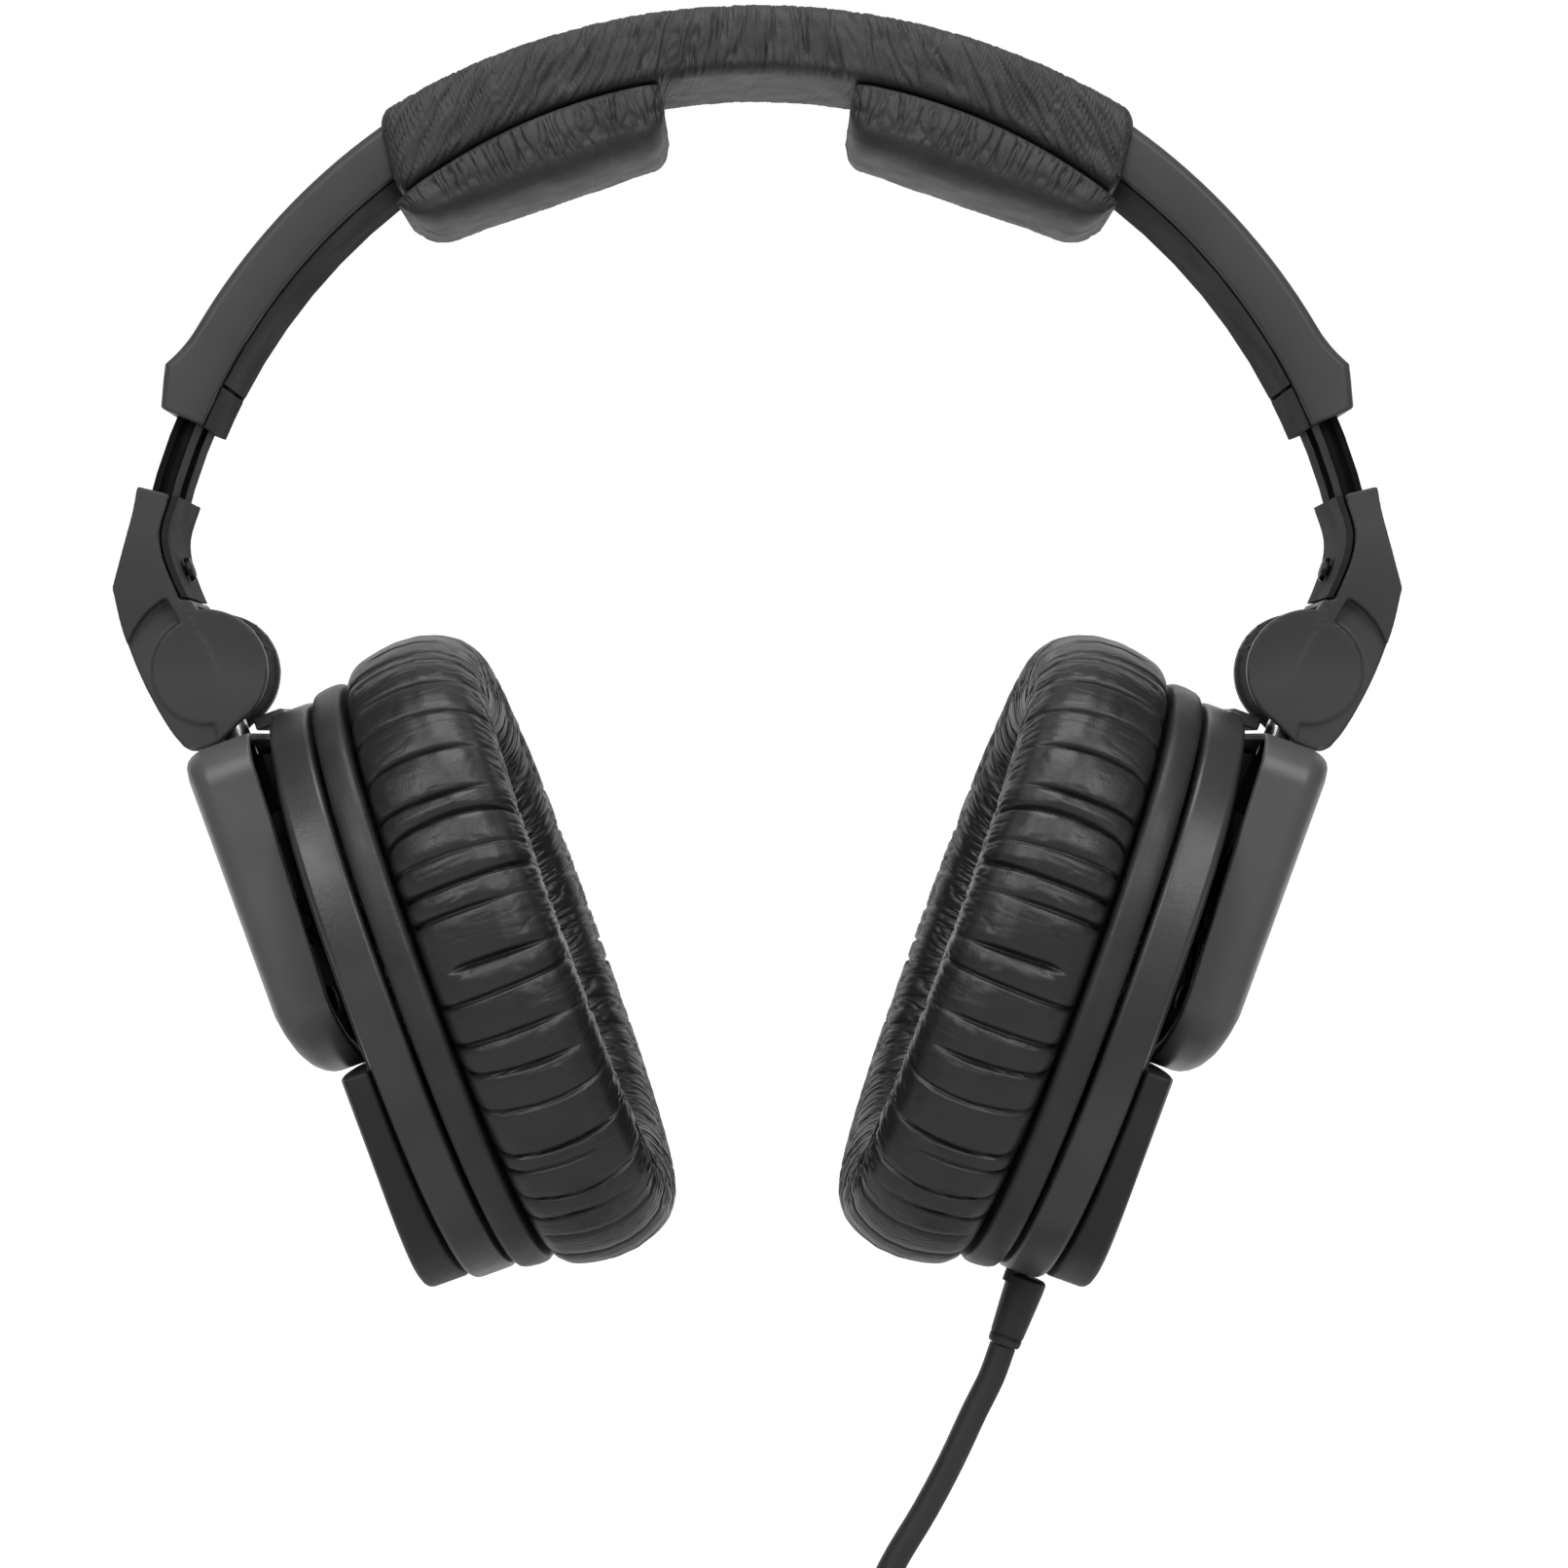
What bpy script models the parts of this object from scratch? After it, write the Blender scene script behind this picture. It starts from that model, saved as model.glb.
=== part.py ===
"""Over ear studio headphones with a folding, extending headband and a single sided lead.

The frame is in metres with +Z up. The origin is on the underside of the headband pad at the crown,
where the headphones rest on a head or a hook. The wearer faces -Y, so +X is the wearer's left.
Both sides are the same: each is built once in its own frame, and the right side is mirrored.
Lengths below are in millimetres.
"""

import math

import bmesh
import bpy
from mathutils import Matrix, Vector

MM = 0.001

# Headband: everything on it is concentric about one line along Y, this far below the crown.
ARC_DEPTH = 84.9
CROWN_STEP = 4.7  # degrees between the cover's stations, one flat centred on the crown
COVER_END = 37.0
COVER_END_LEAN = 0.25  # degrees per millimetre of radius; the cover's ends lean back
COVER_LEAN_RADIUS = 88.5
COVER_HALF_WIDTH = 16.5
CUSHION_ENDS = (9.6, 38.6)
CUSHION_FOOT = 74.9
CUSHION_LEAN = 18.8
SLEEVE_START = 34.0
SLEEVE_END = 67.4
FLARE_START = 61.0
FLARE_TOP = 63.7
SLIDER_START = 48.0
SLIDER_STOP = 80.0
SLIDER_RADII = (89.0, 92.0)
SLIDER_HALF_WIDTH = 11.0

# Fold hinge of the left side, seen from the crown, and the arm around it.
HINGE = (80.9, 0.0, -86.8)
CHEEK_RADIUS = 8.96
BARREL_RADIUS = 8.5
BARREL_ROOM = 9.6
BARREL_HALF_WIDTH = 6.7
RIB_HEIGHT = 0.7
ARM_HALF_WIDTH = 13.0
CHEEK_HALF_WIDTH = 9.6
TAPER_FOOT = 5.0
TAPER_TOP = 15.5
HINGE_PIN_RADIUS = 2.0
ARM_SCREW_AT = Vector((3.9, 0.0, 15.15))
ARM_SCREW_AXIS = Vector((0.946, 0.0, -0.324))

# Cup frame: X points away from the head, Z up the long axis, and its origin is between the
# housing and the pad flange. The swivel axis is parallel to Z through the fold hinge.
CUP_TILT = 20.0
CUP_YAW = 1.5
SWIVEL_X = 12.94
HINGE_HEIGHT = 53.67
TILT_AXLE = (10.6, 14.0)
PAD_SIZE = (48.7, 42.0)
FLANGE_SIZE = (45.3, 38.7)
HOUSING_SIZE = (44.4, 37.7)
CUP_POWER = 2.35
GRILLE_SLOTS = 6
DRIVER_RADIUS = 19.2
AXLE_RADIUS = 1.2
SCREW_HOLE_RADIUS = 1.1
SWIVEL_PIN_RADIUS = 2.0

# Yoke: a shallow cap over the upper half of the cup.
YOKE_TOP = 42.3
YOKE_BOTTOM = -8.6
YOKE_HALF_WIDTH = 28.0
YOKE_CORNER = 6.0
YOKE_SHOULDER = 3.0

# Lead: 3 m of 4 mm cord, of which all but the first stretch is wound into a tied coil.
CORD_RADIUS = 2.0
RELIEF_X = 5.6
RELIEF_TIP = -55.5
COIL_RADIUS = 24.0
COIL_SECTION = (10.5, 8.5)
COIL_X = 13.5
LEAD_END_Z = -254.3
GAP = 0.3

MATERIALS = {
    "moulded_black": ((0.030, 0.030, 0.032, 1.0), 0.45, 0.0),
    "housing_grey": ((0.060, 0.060, 0.064, 1.0), 0.50, 0.0),
    "yoke_grey": ((0.075, 0.075, 0.080, 1.0), 0.42, 0.0),
    "leatherette": ((0.022, 0.022, 0.023, 1.0), 0.48, 0.0),
    "steel": ((0.55, 0.56, 0.58, 1.0), 0.28, 1.0),
    "spring_steel": ((0.35, 0.36, 0.38, 1.0), 0.35, 1.0),
    "foam": ((0.015, 0.015, 0.015, 1.0), 0.95, 0.0),
    "diaphragm_film": ((0.45, 0.42, 0.36, 1.0), 0.30, 0.0),
    "rubber": ((0.020, 0.020, 0.021, 1.0), 0.60, 0.0),
    "gold": ((0.83, 0.61, 0.25, 1.0), 0.25, 1.0),
}


# ---------------------------------------------------------------- meshes and objects


def clear_scene():
    for obj in list(bpy.data.objects):
        bpy.data.objects.remove(obj, do_unlink=True)


def finish_material(name):
    found = bpy.data.materials.get(name)
    if found:
        return found
    colour, roughness, metallic = MATERIALS[name]
    made = bpy.data.materials.new(name)
    made.use_nodes = True
    shader = made.node_tree.nodes["Principled BSDF"]
    shader.inputs["Base Color"].default_value = colour
    shader.inputs["Roughness"].default_value = roughness
    shader.inputs["Metallic"].default_value = metallic
    return made


def finished(name, bm, sharp_angle=35.0):
    """A mesh from a bmesh in millimetres, with its faces out and round stretches smooth."""
    bmesh.ops.scale(bm, vec=(MM, MM, MM), verts=bm.verts)
    bmesh.ops.recalc_face_normals(bm, faces=bm.faces)
    mesh = bpy.data.meshes.new(name)
    bm.to_mesh(mesh)
    bm.free()
    mesh.shade_smooth()
    mesh.set_sharp_from_angle(angle=math.radians(sharp_angle))
    return mesh


def loft(name, rings, ring_shaped=False):
    """A solid through rings of points, capped at both ends or closed on itself."""
    bm = bmesh.new()
    made = [[bm.verts.new(point) for point in ring] for ring in rings]
    pairs = list(zip(made, made[1:]))
    if ring_shaped:
        pairs.append((made[-1], made[0]))
    else:
        bm.faces.new(made[0])
        bm.faces.new(made[-1])
    for near, far in pairs:
        for i in range(len(near)):
            j = (i + 1) % len(near)
            bm.faces.new((near[i], near[j], far[j], far[i]))
    return finished(name, bm)


def prism(name, outline, half_width, edge=0.0):
    """An outline of (x, z) points extruded to both sides along Y, with rounded rims."""
    bm = bmesh.new()
    near = [bm.verts.new((x, -half_width, z)) for x, z in outline]
    far = [bm.verts.new((x, half_width, z)) for x, z in outline]
    rims = [bm.faces.new(near), bm.faces.new(far)]
    for i in range(len(near)):
        j = (i + 1) % len(near)
        bm.faces.new((near[i], near[j], far[j], far[i]))
    if edge:
        rim_edges = list({e for face in rims for e in face.edges})
        bmesh.ops.bevel(bm, geom=rim_edges, offset=edge, segments=1, affect="EDGES", profile=0.5)
    return finished(name, bm)


def box(name, low, high):
    bm = bmesh.new()
    size = [b - a for a, b in zip(low, high)]
    middle = [(a + b) / 2 for a, b in zip(low, high)]
    frame = Matrix.Translation(middle) @ Matrix.Diagonal((*size, 1.0))
    bmesh.ops.create_cube(bm, size=1.0, matrix=frame)
    return finished(name, bm)


def turned(profile, axis, centre=(0.0, 0.0, 0.0), steps=24):
    """Rings of points turned about an axis, one for each (along, radius) pair."""
    frame = Vector(axis).to_track_quat("Z", "Y").to_matrix()
    rings = []
    for along, radius in profile:
        ring = []
        for i in range(steps):
            angle = math.tau * i / steps
            local = Vector((radius * math.cos(angle), radius * math.sin(angle), along))
            ring.append(Vector(centre) + frame @ local)
        rings.append(ring)
    return rings


def rod(name, start, end, radius, steps=20):
    axis = Vector(end) - Vector(start)
    return loft(name, turned([(0.0, radius), (axis.length, radius)], axis, start, steps))


def ring_solid(name, profile, axis, centre=(0.0, 0.0, 0.0), steps=32):
    return loft(name, turned(profile, axis, centre, steps), ring_shaped=True)


def combined(name, base, tools):
    """The base mesh after each (operation, mesh) in turn, as a mesh of its own."""
    host = bpy.data.objects.new(name, base)
    bpy.context.collection.objects.link(host)
    helpers = []
    for operation, mesh in tools:
        helper = bpy.data.objects.new(name + "_tool", mesh)
        bpy.context.collection.objects.link(helper)
        helper.hide_render = True
        helper.display_type = "WIRE"
        helpers.append(helper)
        modifier = host.modifiers.new(operation, "BOOLEAN")
        modifier.operation = operation
        modifier.solver = "EXACT"
        modifier.object = helper
    graph = bpy.context.evaluated_depsgraph_get()
    result = bpy.data.meshes.new_from_object(host.evaluated_get(graph))
    for obj in [host, *helpers]:
        bpy.data.objects.remove(obj, do_unlink=True)
    result.name = name
    result.shade_smooth()
    result.set_sharp_from_angle(angle=math.radians(35.0))
    return result


def empty(name, location, parent=None, rotation=(0.0, 0.0, 0.0)):
    made = bpy.data.objects.new(name, None)
    bpy.context.collection.objects.link(made)
    made.rotation_mode = "ZYX"
    made.location = Vector(location) * MM
    made.rotation_euler = [math.radians(angle) for angle in rotation]
    made.parent = parent
    return made


def place(name, mesh, finish, parent=None, location=(0.0, 0.0, 0.0)):
    made = bpy.data.objects.new(name, mesh)
    bpy.context.collection.objects.link(made)
    if not mesh.materials:
        mesh.materials.append(finish_material(finish))
    made.parent = parent
    made.location = Vector(location) * MM
    return made


# ---------------------------------------------------------------- outlines and sweeps


def span(start, stop, count):
    return [start + (stop - start) * i / (count - 1) for i in range(count)]


def on_arc(radius, y, degrees):
    """A point of the headband's arc, from its centre line; degrees are from the crown."""
    angle = math.radians(degrees)
    return (radius * math.sin(angle), y, radius * math.cos(angle))


def arc_sweep(name, section, stations):
    """A bar along the arc; section(station) gives its (radius, y) corners there."""
    return loft(name, [[on_arc(r, y, phi) for r, y in section(phi)] for phi in stations])


def block_section(inner, outer, half_width):
    return [(inner, -half_width), (inner, half_width), (outer, half_width), (outer, -half_width)]


def oval(size, x, count=24):
    """A ring of points on a rounded cup outline at one depth."""
    ring = []
    for i in range(count):
        angle = math.tau * (i + 0.5) / count
        c, s = math.cos(angle), math.sin(angle)
        z = size[0] * math.copysign(abs(c) ** (2 / CUP_POWER), c)
        y = size[1] * math.copysign(abs(s) ** (2 / CUP_POWER), s)
        ring.append((x, y, z))
    return ring


def circle_ring(radius, x, count=24):
    ring = []
    for i in range(count):
        angle = math.tau * (i + 0.5) / count
        ring.append((x, radius * math.sin(angle), radius * math.cos(angle)))
    return ring


def smaller(size, inset):
    return (size[0] - inset, size[1] - inset)


def arc_points(centre, radius, start, stop, count):
    points = []
    for degrees in span(start, stop, count):
        angle = math.radians(degrees)
        points.append((centre[0] + radius * math.cos(angle), centre[1] + radius * math.sin(angle)))
    return points


# ---------------------------------------------------------------- headband


def shell_section(phi):
    """The headband shell: a channel open towards the head, slimmer under the cover."""
    reach = abs(phi)
    if reach < SLEEVE_START:
        return channel_section(11.0, 9.5, 88.9, 89.8, 91.4)
    outer = 94.8
    if reach > FLARE_START:
        rise = (reach - FLARE_START) / (FLARE_TOP - FLARE_START)
        fall = (reach - FLARE_TOP) / (SLEEVE_END - FLARE_TOP)
        outer = 94.8 + 1.5 * min(rise, 1.0) - 2.1 * max(fall, 0.0)
    return channel_section(15.0, 13.0, 87.6, 92.4, outer)


def channel_section(half_width, inner_half_width, foot, ceiling, outer):
    chamfer = 0.9
    return [
        (foot, -half_width),
        (foot, -inner_half_width),
        (ceiling, -inner_half_width),
        (ceiling, inner_half_width),
        (foot, inner_half_width),
        (foot, half_width),
        (outer - chamfer, half_width),
        (outer, half_width - chamfer),
        (outer, chamfer - half_width),
        (outer - chamfer, -half_width),
    ]


def both_ways(angles):
    return [-a for a in reversed(angles)] + list(angles)


def headband_shell():
    inner = span(2.35, 33.5, 7)
    outer = [SLEEVE_START] + span(38.0, FLARE_START, 7) + [FLARE_TOP, SLEEVE_END]
    return arc_sweep("headband_shell", shell_section, both_ways(inner + outer))


def liner_section(phi):
    return block_section(87.4, 88.5, 9.9 if abs(phi) <= SLEEVE_START else 12.7)


def headband_liner():
    inner = span(2.35, 33.5, 7)
    outer = [SLEEVE_START, SLEEVE_START + 1.0] + span(38.0, 62.9, 7)
    return arc_sweep("headband_liner", liner_section, both_ways(inner + outer))


def spring_band():
    return arc_sweep(
        "spring_band", lambda phi: block_section(88.8, 89.5, 8.0), both_ways(span(2.0, 41.0, 8))
    )


def cover_outer(phi):
    """The padded cover's outline: low sides, a crowned top and a flat underside."""
    end = abs(phi) / COVER_END
    top = 95.0 + 1.5 * end**2
    foot = ARC_DEPTH / math.cos(math.radians(CROWN_STEP / 2))
    half = COVER_HALF_WIDTH
    return [
        (foot, -half + 1.5),
        (foot, half - 1.5),
        (foot + 1.8, half),
        (top - 2.2, half),
        (top - 0.5, half - 1.8),
        (top, half - 6.0),
        (top, 6.0 - half),
        (top - 0.5, 1.8 - half),
        (top - 2.2, -half),
        (foot + 1.8, -half),
    ]


def cover_ring(phi):
    """One station of the cover; the two end faces lean back towards the crown at the top."""
    lean = math.copysign(COVER_END_LEAN, phi) if abs(phi) == COVER_END else 0.0
    return [on_arc(r, y, phi + lean * (COVER_LEAN_RADIUS - r)) for r, y in cover_outer(phi)]


def cover_room(phi):
    half, top = (11.4, 91.7) if abs(phi) < 32.8 else (15.3, 95.1)
    return [
        (87.1, -half),
        (87.1, half),
        (top - 0.9, half),
        (top, half - 1.1),
        (top, 1.1 - half),
        (top - 0.9, -half),
    ]


def headband_cover():
    stations = both_ways(span(CROWN_STEP / 2, COVER_END, 8))
    body = loft("cover_body", [cover_ring(phi) for phi in stations])
    inner = [*span(CROWN_STEP / 2, 32.6, 7), 33.0, 41.0]
    room = arc_sweep("cover_room", cover_room, both_ways(inner))
    return combined("headband_cover", body, [("DIFFERENCE", room)])


def crown_cushion():
    """One roll under the band, with a straight foot that leans with the band."""

    def section(phi):
        foot = CUSHION_FOOT / math.cos(math.radians(phi - CUSHION_LEAN))
        top = ARC_DEPTH - GAP
        shrink = 1.6 if phi in CUSHION_ENDS else 0.0
        half = 15.8 - shrink
        return [
            (top, -half),
            (top, half),
            (foot + 3.5, half),
            (foot + 0.8 + shrink, half - 1.9),
            (foot + shrink, half - 4.5),
            (foot + shrink, 4.5 - half),
            (foot + 0.8 + shrink, 1.9 - half),
            (foot + 3.5, -half),
        ]

    first, last = CUSHION_ENDS
    return arc_sweep("crown_cushion", section, [first, *span(first + 1.0, last - 1.2, 6), last])


def build_headband():
    at = (0.0, 0.0, -ARC_DEPTH)
    place("headband_shell", headband_shell(), "moulded_black", location=at)
    place("headband_liner", headband_liner(), "moulded_black", location=at)
    place("spring_band", spring_band(), "spring_steel", location=at)
    place("headband_cover", headband_cover(), "leatherette", location=at)
    cushion = crown_cushion()
    place("left_crown_cushion", cushion, "leatherette", location=at)
    mirrored = place("right_crown_cushion", cushion, "leatherette", location=at)
    mirrored.scale.x = -1.0


# ---------------------------------------------------------------- slider and arm


def end_clip():
    def section(phi):
        return [
            (87.4, -12.7),
            (92.1, -12.7),
            (92.1, -11.3),
            (88.6, -11.3),
            (88.6, 11.3),
            (92.1, 11.3),
            (92.1, 12.7),
            (87.4, 12.7),
        ]

    return arc_sweep("end_clip", section, span(63.2, SLEEVE_END, 3))


def detent_spring():
    """A thin leaf beside the slider, bowed towards its edge notches."""

    def section(phi):
        bow = 0.35 * math.sin(math.pi * (phi - 55.0) / 7.0)
        return [(89.3, -12.4 + bow), (91.7, -12.4 + bow), (91.7, -12.0 + bow), (89.3, -12.0 + bow)]

    return arc_sweep("detent_spring", section, span(55.0, 62.0, 9))


def slider_bar():
    """The extending bar, grooved along both edges and along its inner face for the wires."""
    low, high = SLIDER_RADII
    w = SLIDER_HALF_WIDTH
    corners = [
        (low, -w),
        (low + 1.1, -w),
        (low + 1.1, 0.9 - w),
        (low + 1.9, 0.9 - w),
        (low + 1.9, -w),
        (high, -w),
        (high, w),
        (low + 1.9, w),
        (low + 1.9, w - 0.9),
        (low + 1.1, w - 0.9),
        (low + 1.1, w),
        (low, w),
        (low, 3.0),
        (low + 0.8, 3.0),
        (low + 0.8, -3.0),
        (low, -3.0),
    ]
    return arc_sweep("slider_bar", lambda phi: corners, span(SLIDER_START, SLIDER_STOP, 10))


def arm_outline():
    """The arm around the fold hinge, from its outer top corner down, round and back up."""
    outer = [(9.7, 26.8), (11.3, 19.6), (13.5, 12.0), (12.1, 5.4), (9.3, -1.8), (5.3, -8.9)]
    tip = [(3.0, -11.5), (1.8, -11.9), (0.5, -11.5), (-1.8, -10.6)]
    cheek = arc_points((0.0, 0.0), CHEEK_RADIUS, 236.0, 82.0, 15)
    return outer + tip + cheek + inner_edge()


def inner_edge():
    return [(2.4, 10.6), (3.6, 13.3), (4.8, 16.8), (5.1, 20.3), (3.6, 25.3)]


def strip(offset_low, offset_high, foot, head):
    """The arm's inner edge widened into a strip."""
    edge = inner_edge()
    edge[0] = (edge[0][0], foot)
    edge[-1] = (edge[-1][0], head)
    near = [(x + offset_low, z) for x, z in edge]
    return near + [(x + offset_high, z) for x, z in reversed(edge)]


def arc_from_hinge(radius, y, degrees):
    x, _, z = on_arc(radius, y, degrees)
    return (x - HINGE[0], y, z - ARC_DEPTH - HINGE[2])


def slider_socket():
    rings = []
    for phi in span(72.0, SLIDER_STOP + 0.6, 4):
        corners = block_section(88.3, 92.3, SLIDER_HALF_WIDTH + GAP)
        rings.append([arc_from_hinge(r, y, phi) for r, y in corners])
    return loft("slider_socket", rings)


def arm_shell():
    body = prism("arm_body", arm_outline(), ARM_HALF_WIDTH, edge=1.0)
    half_room = BARREL_HALF_WIDTH + GAP
    room = rod("room", (0, -half_room, 0), (0, half_room, 0), BARREL_ROOM, 28)
    sweep = arc_points((0.0, 0.0), 22.0, 150.0, 262.0, 9) + [(0.0, 0.0)]
    mouth = prism("mouth", sweep, half_room)
    pin_hole = rod("pin_hole", (0, -8.9, 0), (0, 8.9, 0), HINGE_PIN_RADIUS + GAP)
    recess = prism("recess", strip(-3.0, 1.3, 10.3, 28.0), 20.0)
    tools = [cheek_trim(1.0), cheek_trim(-1.0), slider_socket()]
    tools += [room, mouth, pin_hole, recess, arm_screw_hole()]
    return combined("arm_shell", body, [("DIFFERENCE", tool) for tool in tools])


def cheek_trim(side):
    """What narrows the arm from the slider's width to the hinge's, on one face."""
    bm = bmesh.new()
    below, beyond = -20.0, 20.0
    profile = [
        (CHEEK_HALF_WIDTH, below),
        (CHEEK_HALF_WIDTH, TAPER_FOOT),
        (ARM_HALF_WIDTH + 0.4, TAPER_TOP),
        (beyond, TAPER_TOP),
        (beyond, below),
    ]
    near = [bm.verts.new((-20.0, side * y, z)) for y, z in profile]
    far = [bm.verts.new((30.0, side * y, z)) for y, z in profile]
    bm.faces.new(near)
    bm.faces.new(far)
    for i in range(len(near)):
        j = (i + 1) % len(near)
        bm.faces.new((near[i], near[j], far[j], far[i]))
    return finished("cheek_trim", bm)


def arm_inner_cover():
    body = prism("inner_cover_body", strip(0.0, 1.0, 10.6, 25.3), 12.9)
    tools = [arm_screw_hole(), cheek_trim(1.0), cheek_trim(-1.0)]
    return combined("arm_inner_cover", body, [("DIFFERENCE", tool) for tool in tools])


def arm_screw_hole():
    start = ARM_SCREW_AT - ARM_SCREW_AXIS
    end = ARM_SCREW_AT + ARM_SCREW_AXIS * 5.4
    return rod("screw_hole", start, end, SCREW_HOLE_RADIUS, 12)


def pan_screw(name, at, axis, length, head_radius=1.9, shaft_radius=0.8):
    """A pan head screw whose head sits against the point at and whose shaft runs along the axis."""
    profile = [
        (-1.0, head_radius * 0.55),
        (-0.75, head_radius * 0.9),
        (-0.3, head_radius),
        (0.0, head_radius),
        (0.0, shaft_radius),
        (length, shaft_radius),
    ]
    return loft(name, turned(profile, axis, at, 10))


def fold_barrel():
    """The hinge barrel with grip ribs on its upper inner side."""
    outline = []
    count = 48
    first_rib, last_rib = 120.0, 158.0
    for i in range(count):
        degrees = 360.0 * i / count
        ribbed = first_rib <= degrees <= last_rib and i % 2
        radius = BARREL_RADIUS + (RIB_HEIGHT if ribbed else 0.0)
        outline += arc_points((0.0, 0.0), radius, degrees, degrees, 2)[:1]
    body = prism("barrel_body", outline, BARREL_HALF_WIDTH)
    hinge_hole = rod("hinge_hole", (0, -20, 0), (0, 20, 0), HINGE_PIN_RADIUS + GAP)
    down = swivel_frame() @ Vector((0, 0, -1))
    swivel_hole = rod("swivel_hole", down * 3.2, down * 20.0, SWIVEL_PIN_RADIUS + GAP)
    return combined("fold_barrel", body, [("DIFFERENCE", hinge_hole), ("DIFFERENCE", swivel_hole)])


def swivel_frame():
    tilt = Matrix.Rotation(math.radians(CUP_TILT), 3, "Y")
    return tilt @ Matrix.Rotation(math.radians(CUP_YAW), 3, "Z")


# ---------------------------------------------------------------- yoke


def yoke_outline(inset, depth, count=7):
    """A flat topped shield with rounded shoulders and a round foot; depth(z) gives its X."""
    half = YOKE_HALF_WIDTH - inset
    top = YOKE_TOP - inset
    corner = max(YOKE_CORNER - inset, 1.0)
    right = arc_points((half - corner, top - corner), corner, 90.0, 0.0, 4)
    foot = []
    for degrees in span(0.0, -180.0, 2 * count - 1):
        angle = math.radians(degrees)
        drop = YOKE_SHOULDER - YOKE_BOTTOM - inset
        foot.append((half * math.cos(angle), YOKE_SHOULDER + drop * math.sin(angle)))
    left = [(-y, z) for y, z in reversed(right)]
    return [(depth(z), y, z) for y, z in right + foot + left]


def yoke_rim(z):
    """How near the cup the yoke's rim comes: nearest at the top."""
    if z > 18.0:
        return 10.0 - 1.8 * (z - 18.0) / (YOKE_TOP - 18.0)
    return 10.0


def swivel_rod(name, foot, head, clearance=0.0):
    """The swivel pin, or the hole for it, between two heights in the cup frame."""
    return rod(name, (SWIVEL_X, 0, foot), (SWIVEL_X, 0, head), SWIVEL_PIN_RADIUS + clearance)


def yoke_shell():
    levels = [(12.0, 19.3), (3.5, 18.3), (1.0, 17.1), (0.0, 15.2), (0.0, None)]
    levels += [(2.0, None), (2.0, 15.4), (4.0, 16.4), (12.0, 17.3)]
    rings = []
    for inset, x in levels:
        rings.append(yoke_outline(inset, yoke_rim if x is None else lambda z, x=x: x))
    body = loft("yoke_body", rings)
    pin_hole = swivel_rod("yoke_pin_hole", 38.0, 48.0, GAP)
    screw_hole = rod("yoke_screw_hole", (14.0, 0, 2.0), (18.0, 0, 2.0), SCREW_HOLE_RADIUS, 12)
    return combined("yoke_shell", body, [("DIFFERENCE", pin_hole), ("DIFFERENCE", screw_hole)])


def yoke_inner_plate():
    """The plate inside the yoke that holds the swivel pin and the tilt axle."""
    plate = loft(
        "plate", [yoke_outline(2.6, lambda z: 13.6), yoke_outline(2.6, lambda z: 15.0)]
    )
    x, z = TILT_AXLE
    pin_block = box("pin_block", (9.6, -6.5, 31.0), (14.6, 6.5, 39.6))
    lug_a = box("lug_a", (8.4, 15.0, z - 3.5), (14.6, 19.0, z + 3.5))
    lug_b = box("lug_b", (8.4, -19.0, z - 3.5), (14.6, -15.0, z + 3.5))
    pin_hole = swivel_rod("pin_hole", 32.7, 48.0, GAP)
    axle_hole = rod("axle_hole", (x, -30, z), (x, 30, z), AXLE_RADIUS + GAP)
    screw_hole = rod("screw_hole", (10.0, 0, 2.0), (18.0, 0, 2.0), SCREW_HOLE_RADIUS, 12)
    tools = [("UNION", pin_block), ("UNION", lug_a), ("UNION", lug_b)]
    tools += [("DIFFERENCE", pin_hole), ("DIFFERENCE", axle_hole), ("DIFFERENCE", screw_hole)]
    return combined("yoke_inner_plate", plate, tools)


def tilt_axle():
    x, z = TILT_AXLE
    return rod("tilt_axle", (x, -19.6, z), (x, 19.6, z), AXLE_RADIUS)


# ---------------------------------------------------------------- cup


def back_cover():
    """The cup's back: a plug in the housing, a raised lower half and the tilt lug."""
    plug = loft("plug", [oval((41.0, 34.3), 4.3), oval((41.0, 34.3), 7.2)])
    raised_levels = [((42.2, 35.5), 6.8), ((43.4, 36.6), 7.6), ((43.4, 36.6), 12.9)]
    raised_levels += [((42.6, 35.8), 13.6), ((34.0, 27.0), 13.9), ((18.0, 14.0), 13.9)]
    raised = loft("raised", [crowned(oval(size, x)) for size, x in raised_levels])
    upper = box("upper", (6.0, -60, -9.8), (30.0, 60, 60))
    lower_half = combined("lower_half", raised, [("DIFFERENCE", upper)])
    hollow_levels = [((39.0, 32.3), 3.5), ((39.0, 32.3), 8.6), ((35.0, 27.5), 10.6)]
    hollow = loft("hollow", [oval(size, x) for size, x in hollow_levels])
    above = box("above", (0.0, -60, -12.0), (30.0, 60, 60))
    room = combined("room", hollow, [("DIFFERENCE", above)])
    x, z = TILT_AXLE
    reach = 2.7
    tip = arc_points((x, z), reach, -60.0, 60.0, 5)
    web = [(6.0, z - reach), (x, z - reach), *tip, (x, z + reach), (6.0, z + reach)]
    lug = prism("lug", web, 13.0)
    axle_hole = rod("axle_hole", (x, -30, z), (x, 30, z), AXLE_RADIUS + GAP)
    tools = [("UNION", lower_half), ("DIFFERENCE", room), ("UNION", lug), ("DIFFERENCE", axle_hole)]
    return combined("back_cover", plug, tools)


def crowned(ring):
    """The ring with its outer part bent down towards the head, as on the back cover."""
    return [(x - 2.9 * (y / 36.0) ** 2 * (x - 6.8) / 7.0, y, z) for x, y, z in ring]


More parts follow.
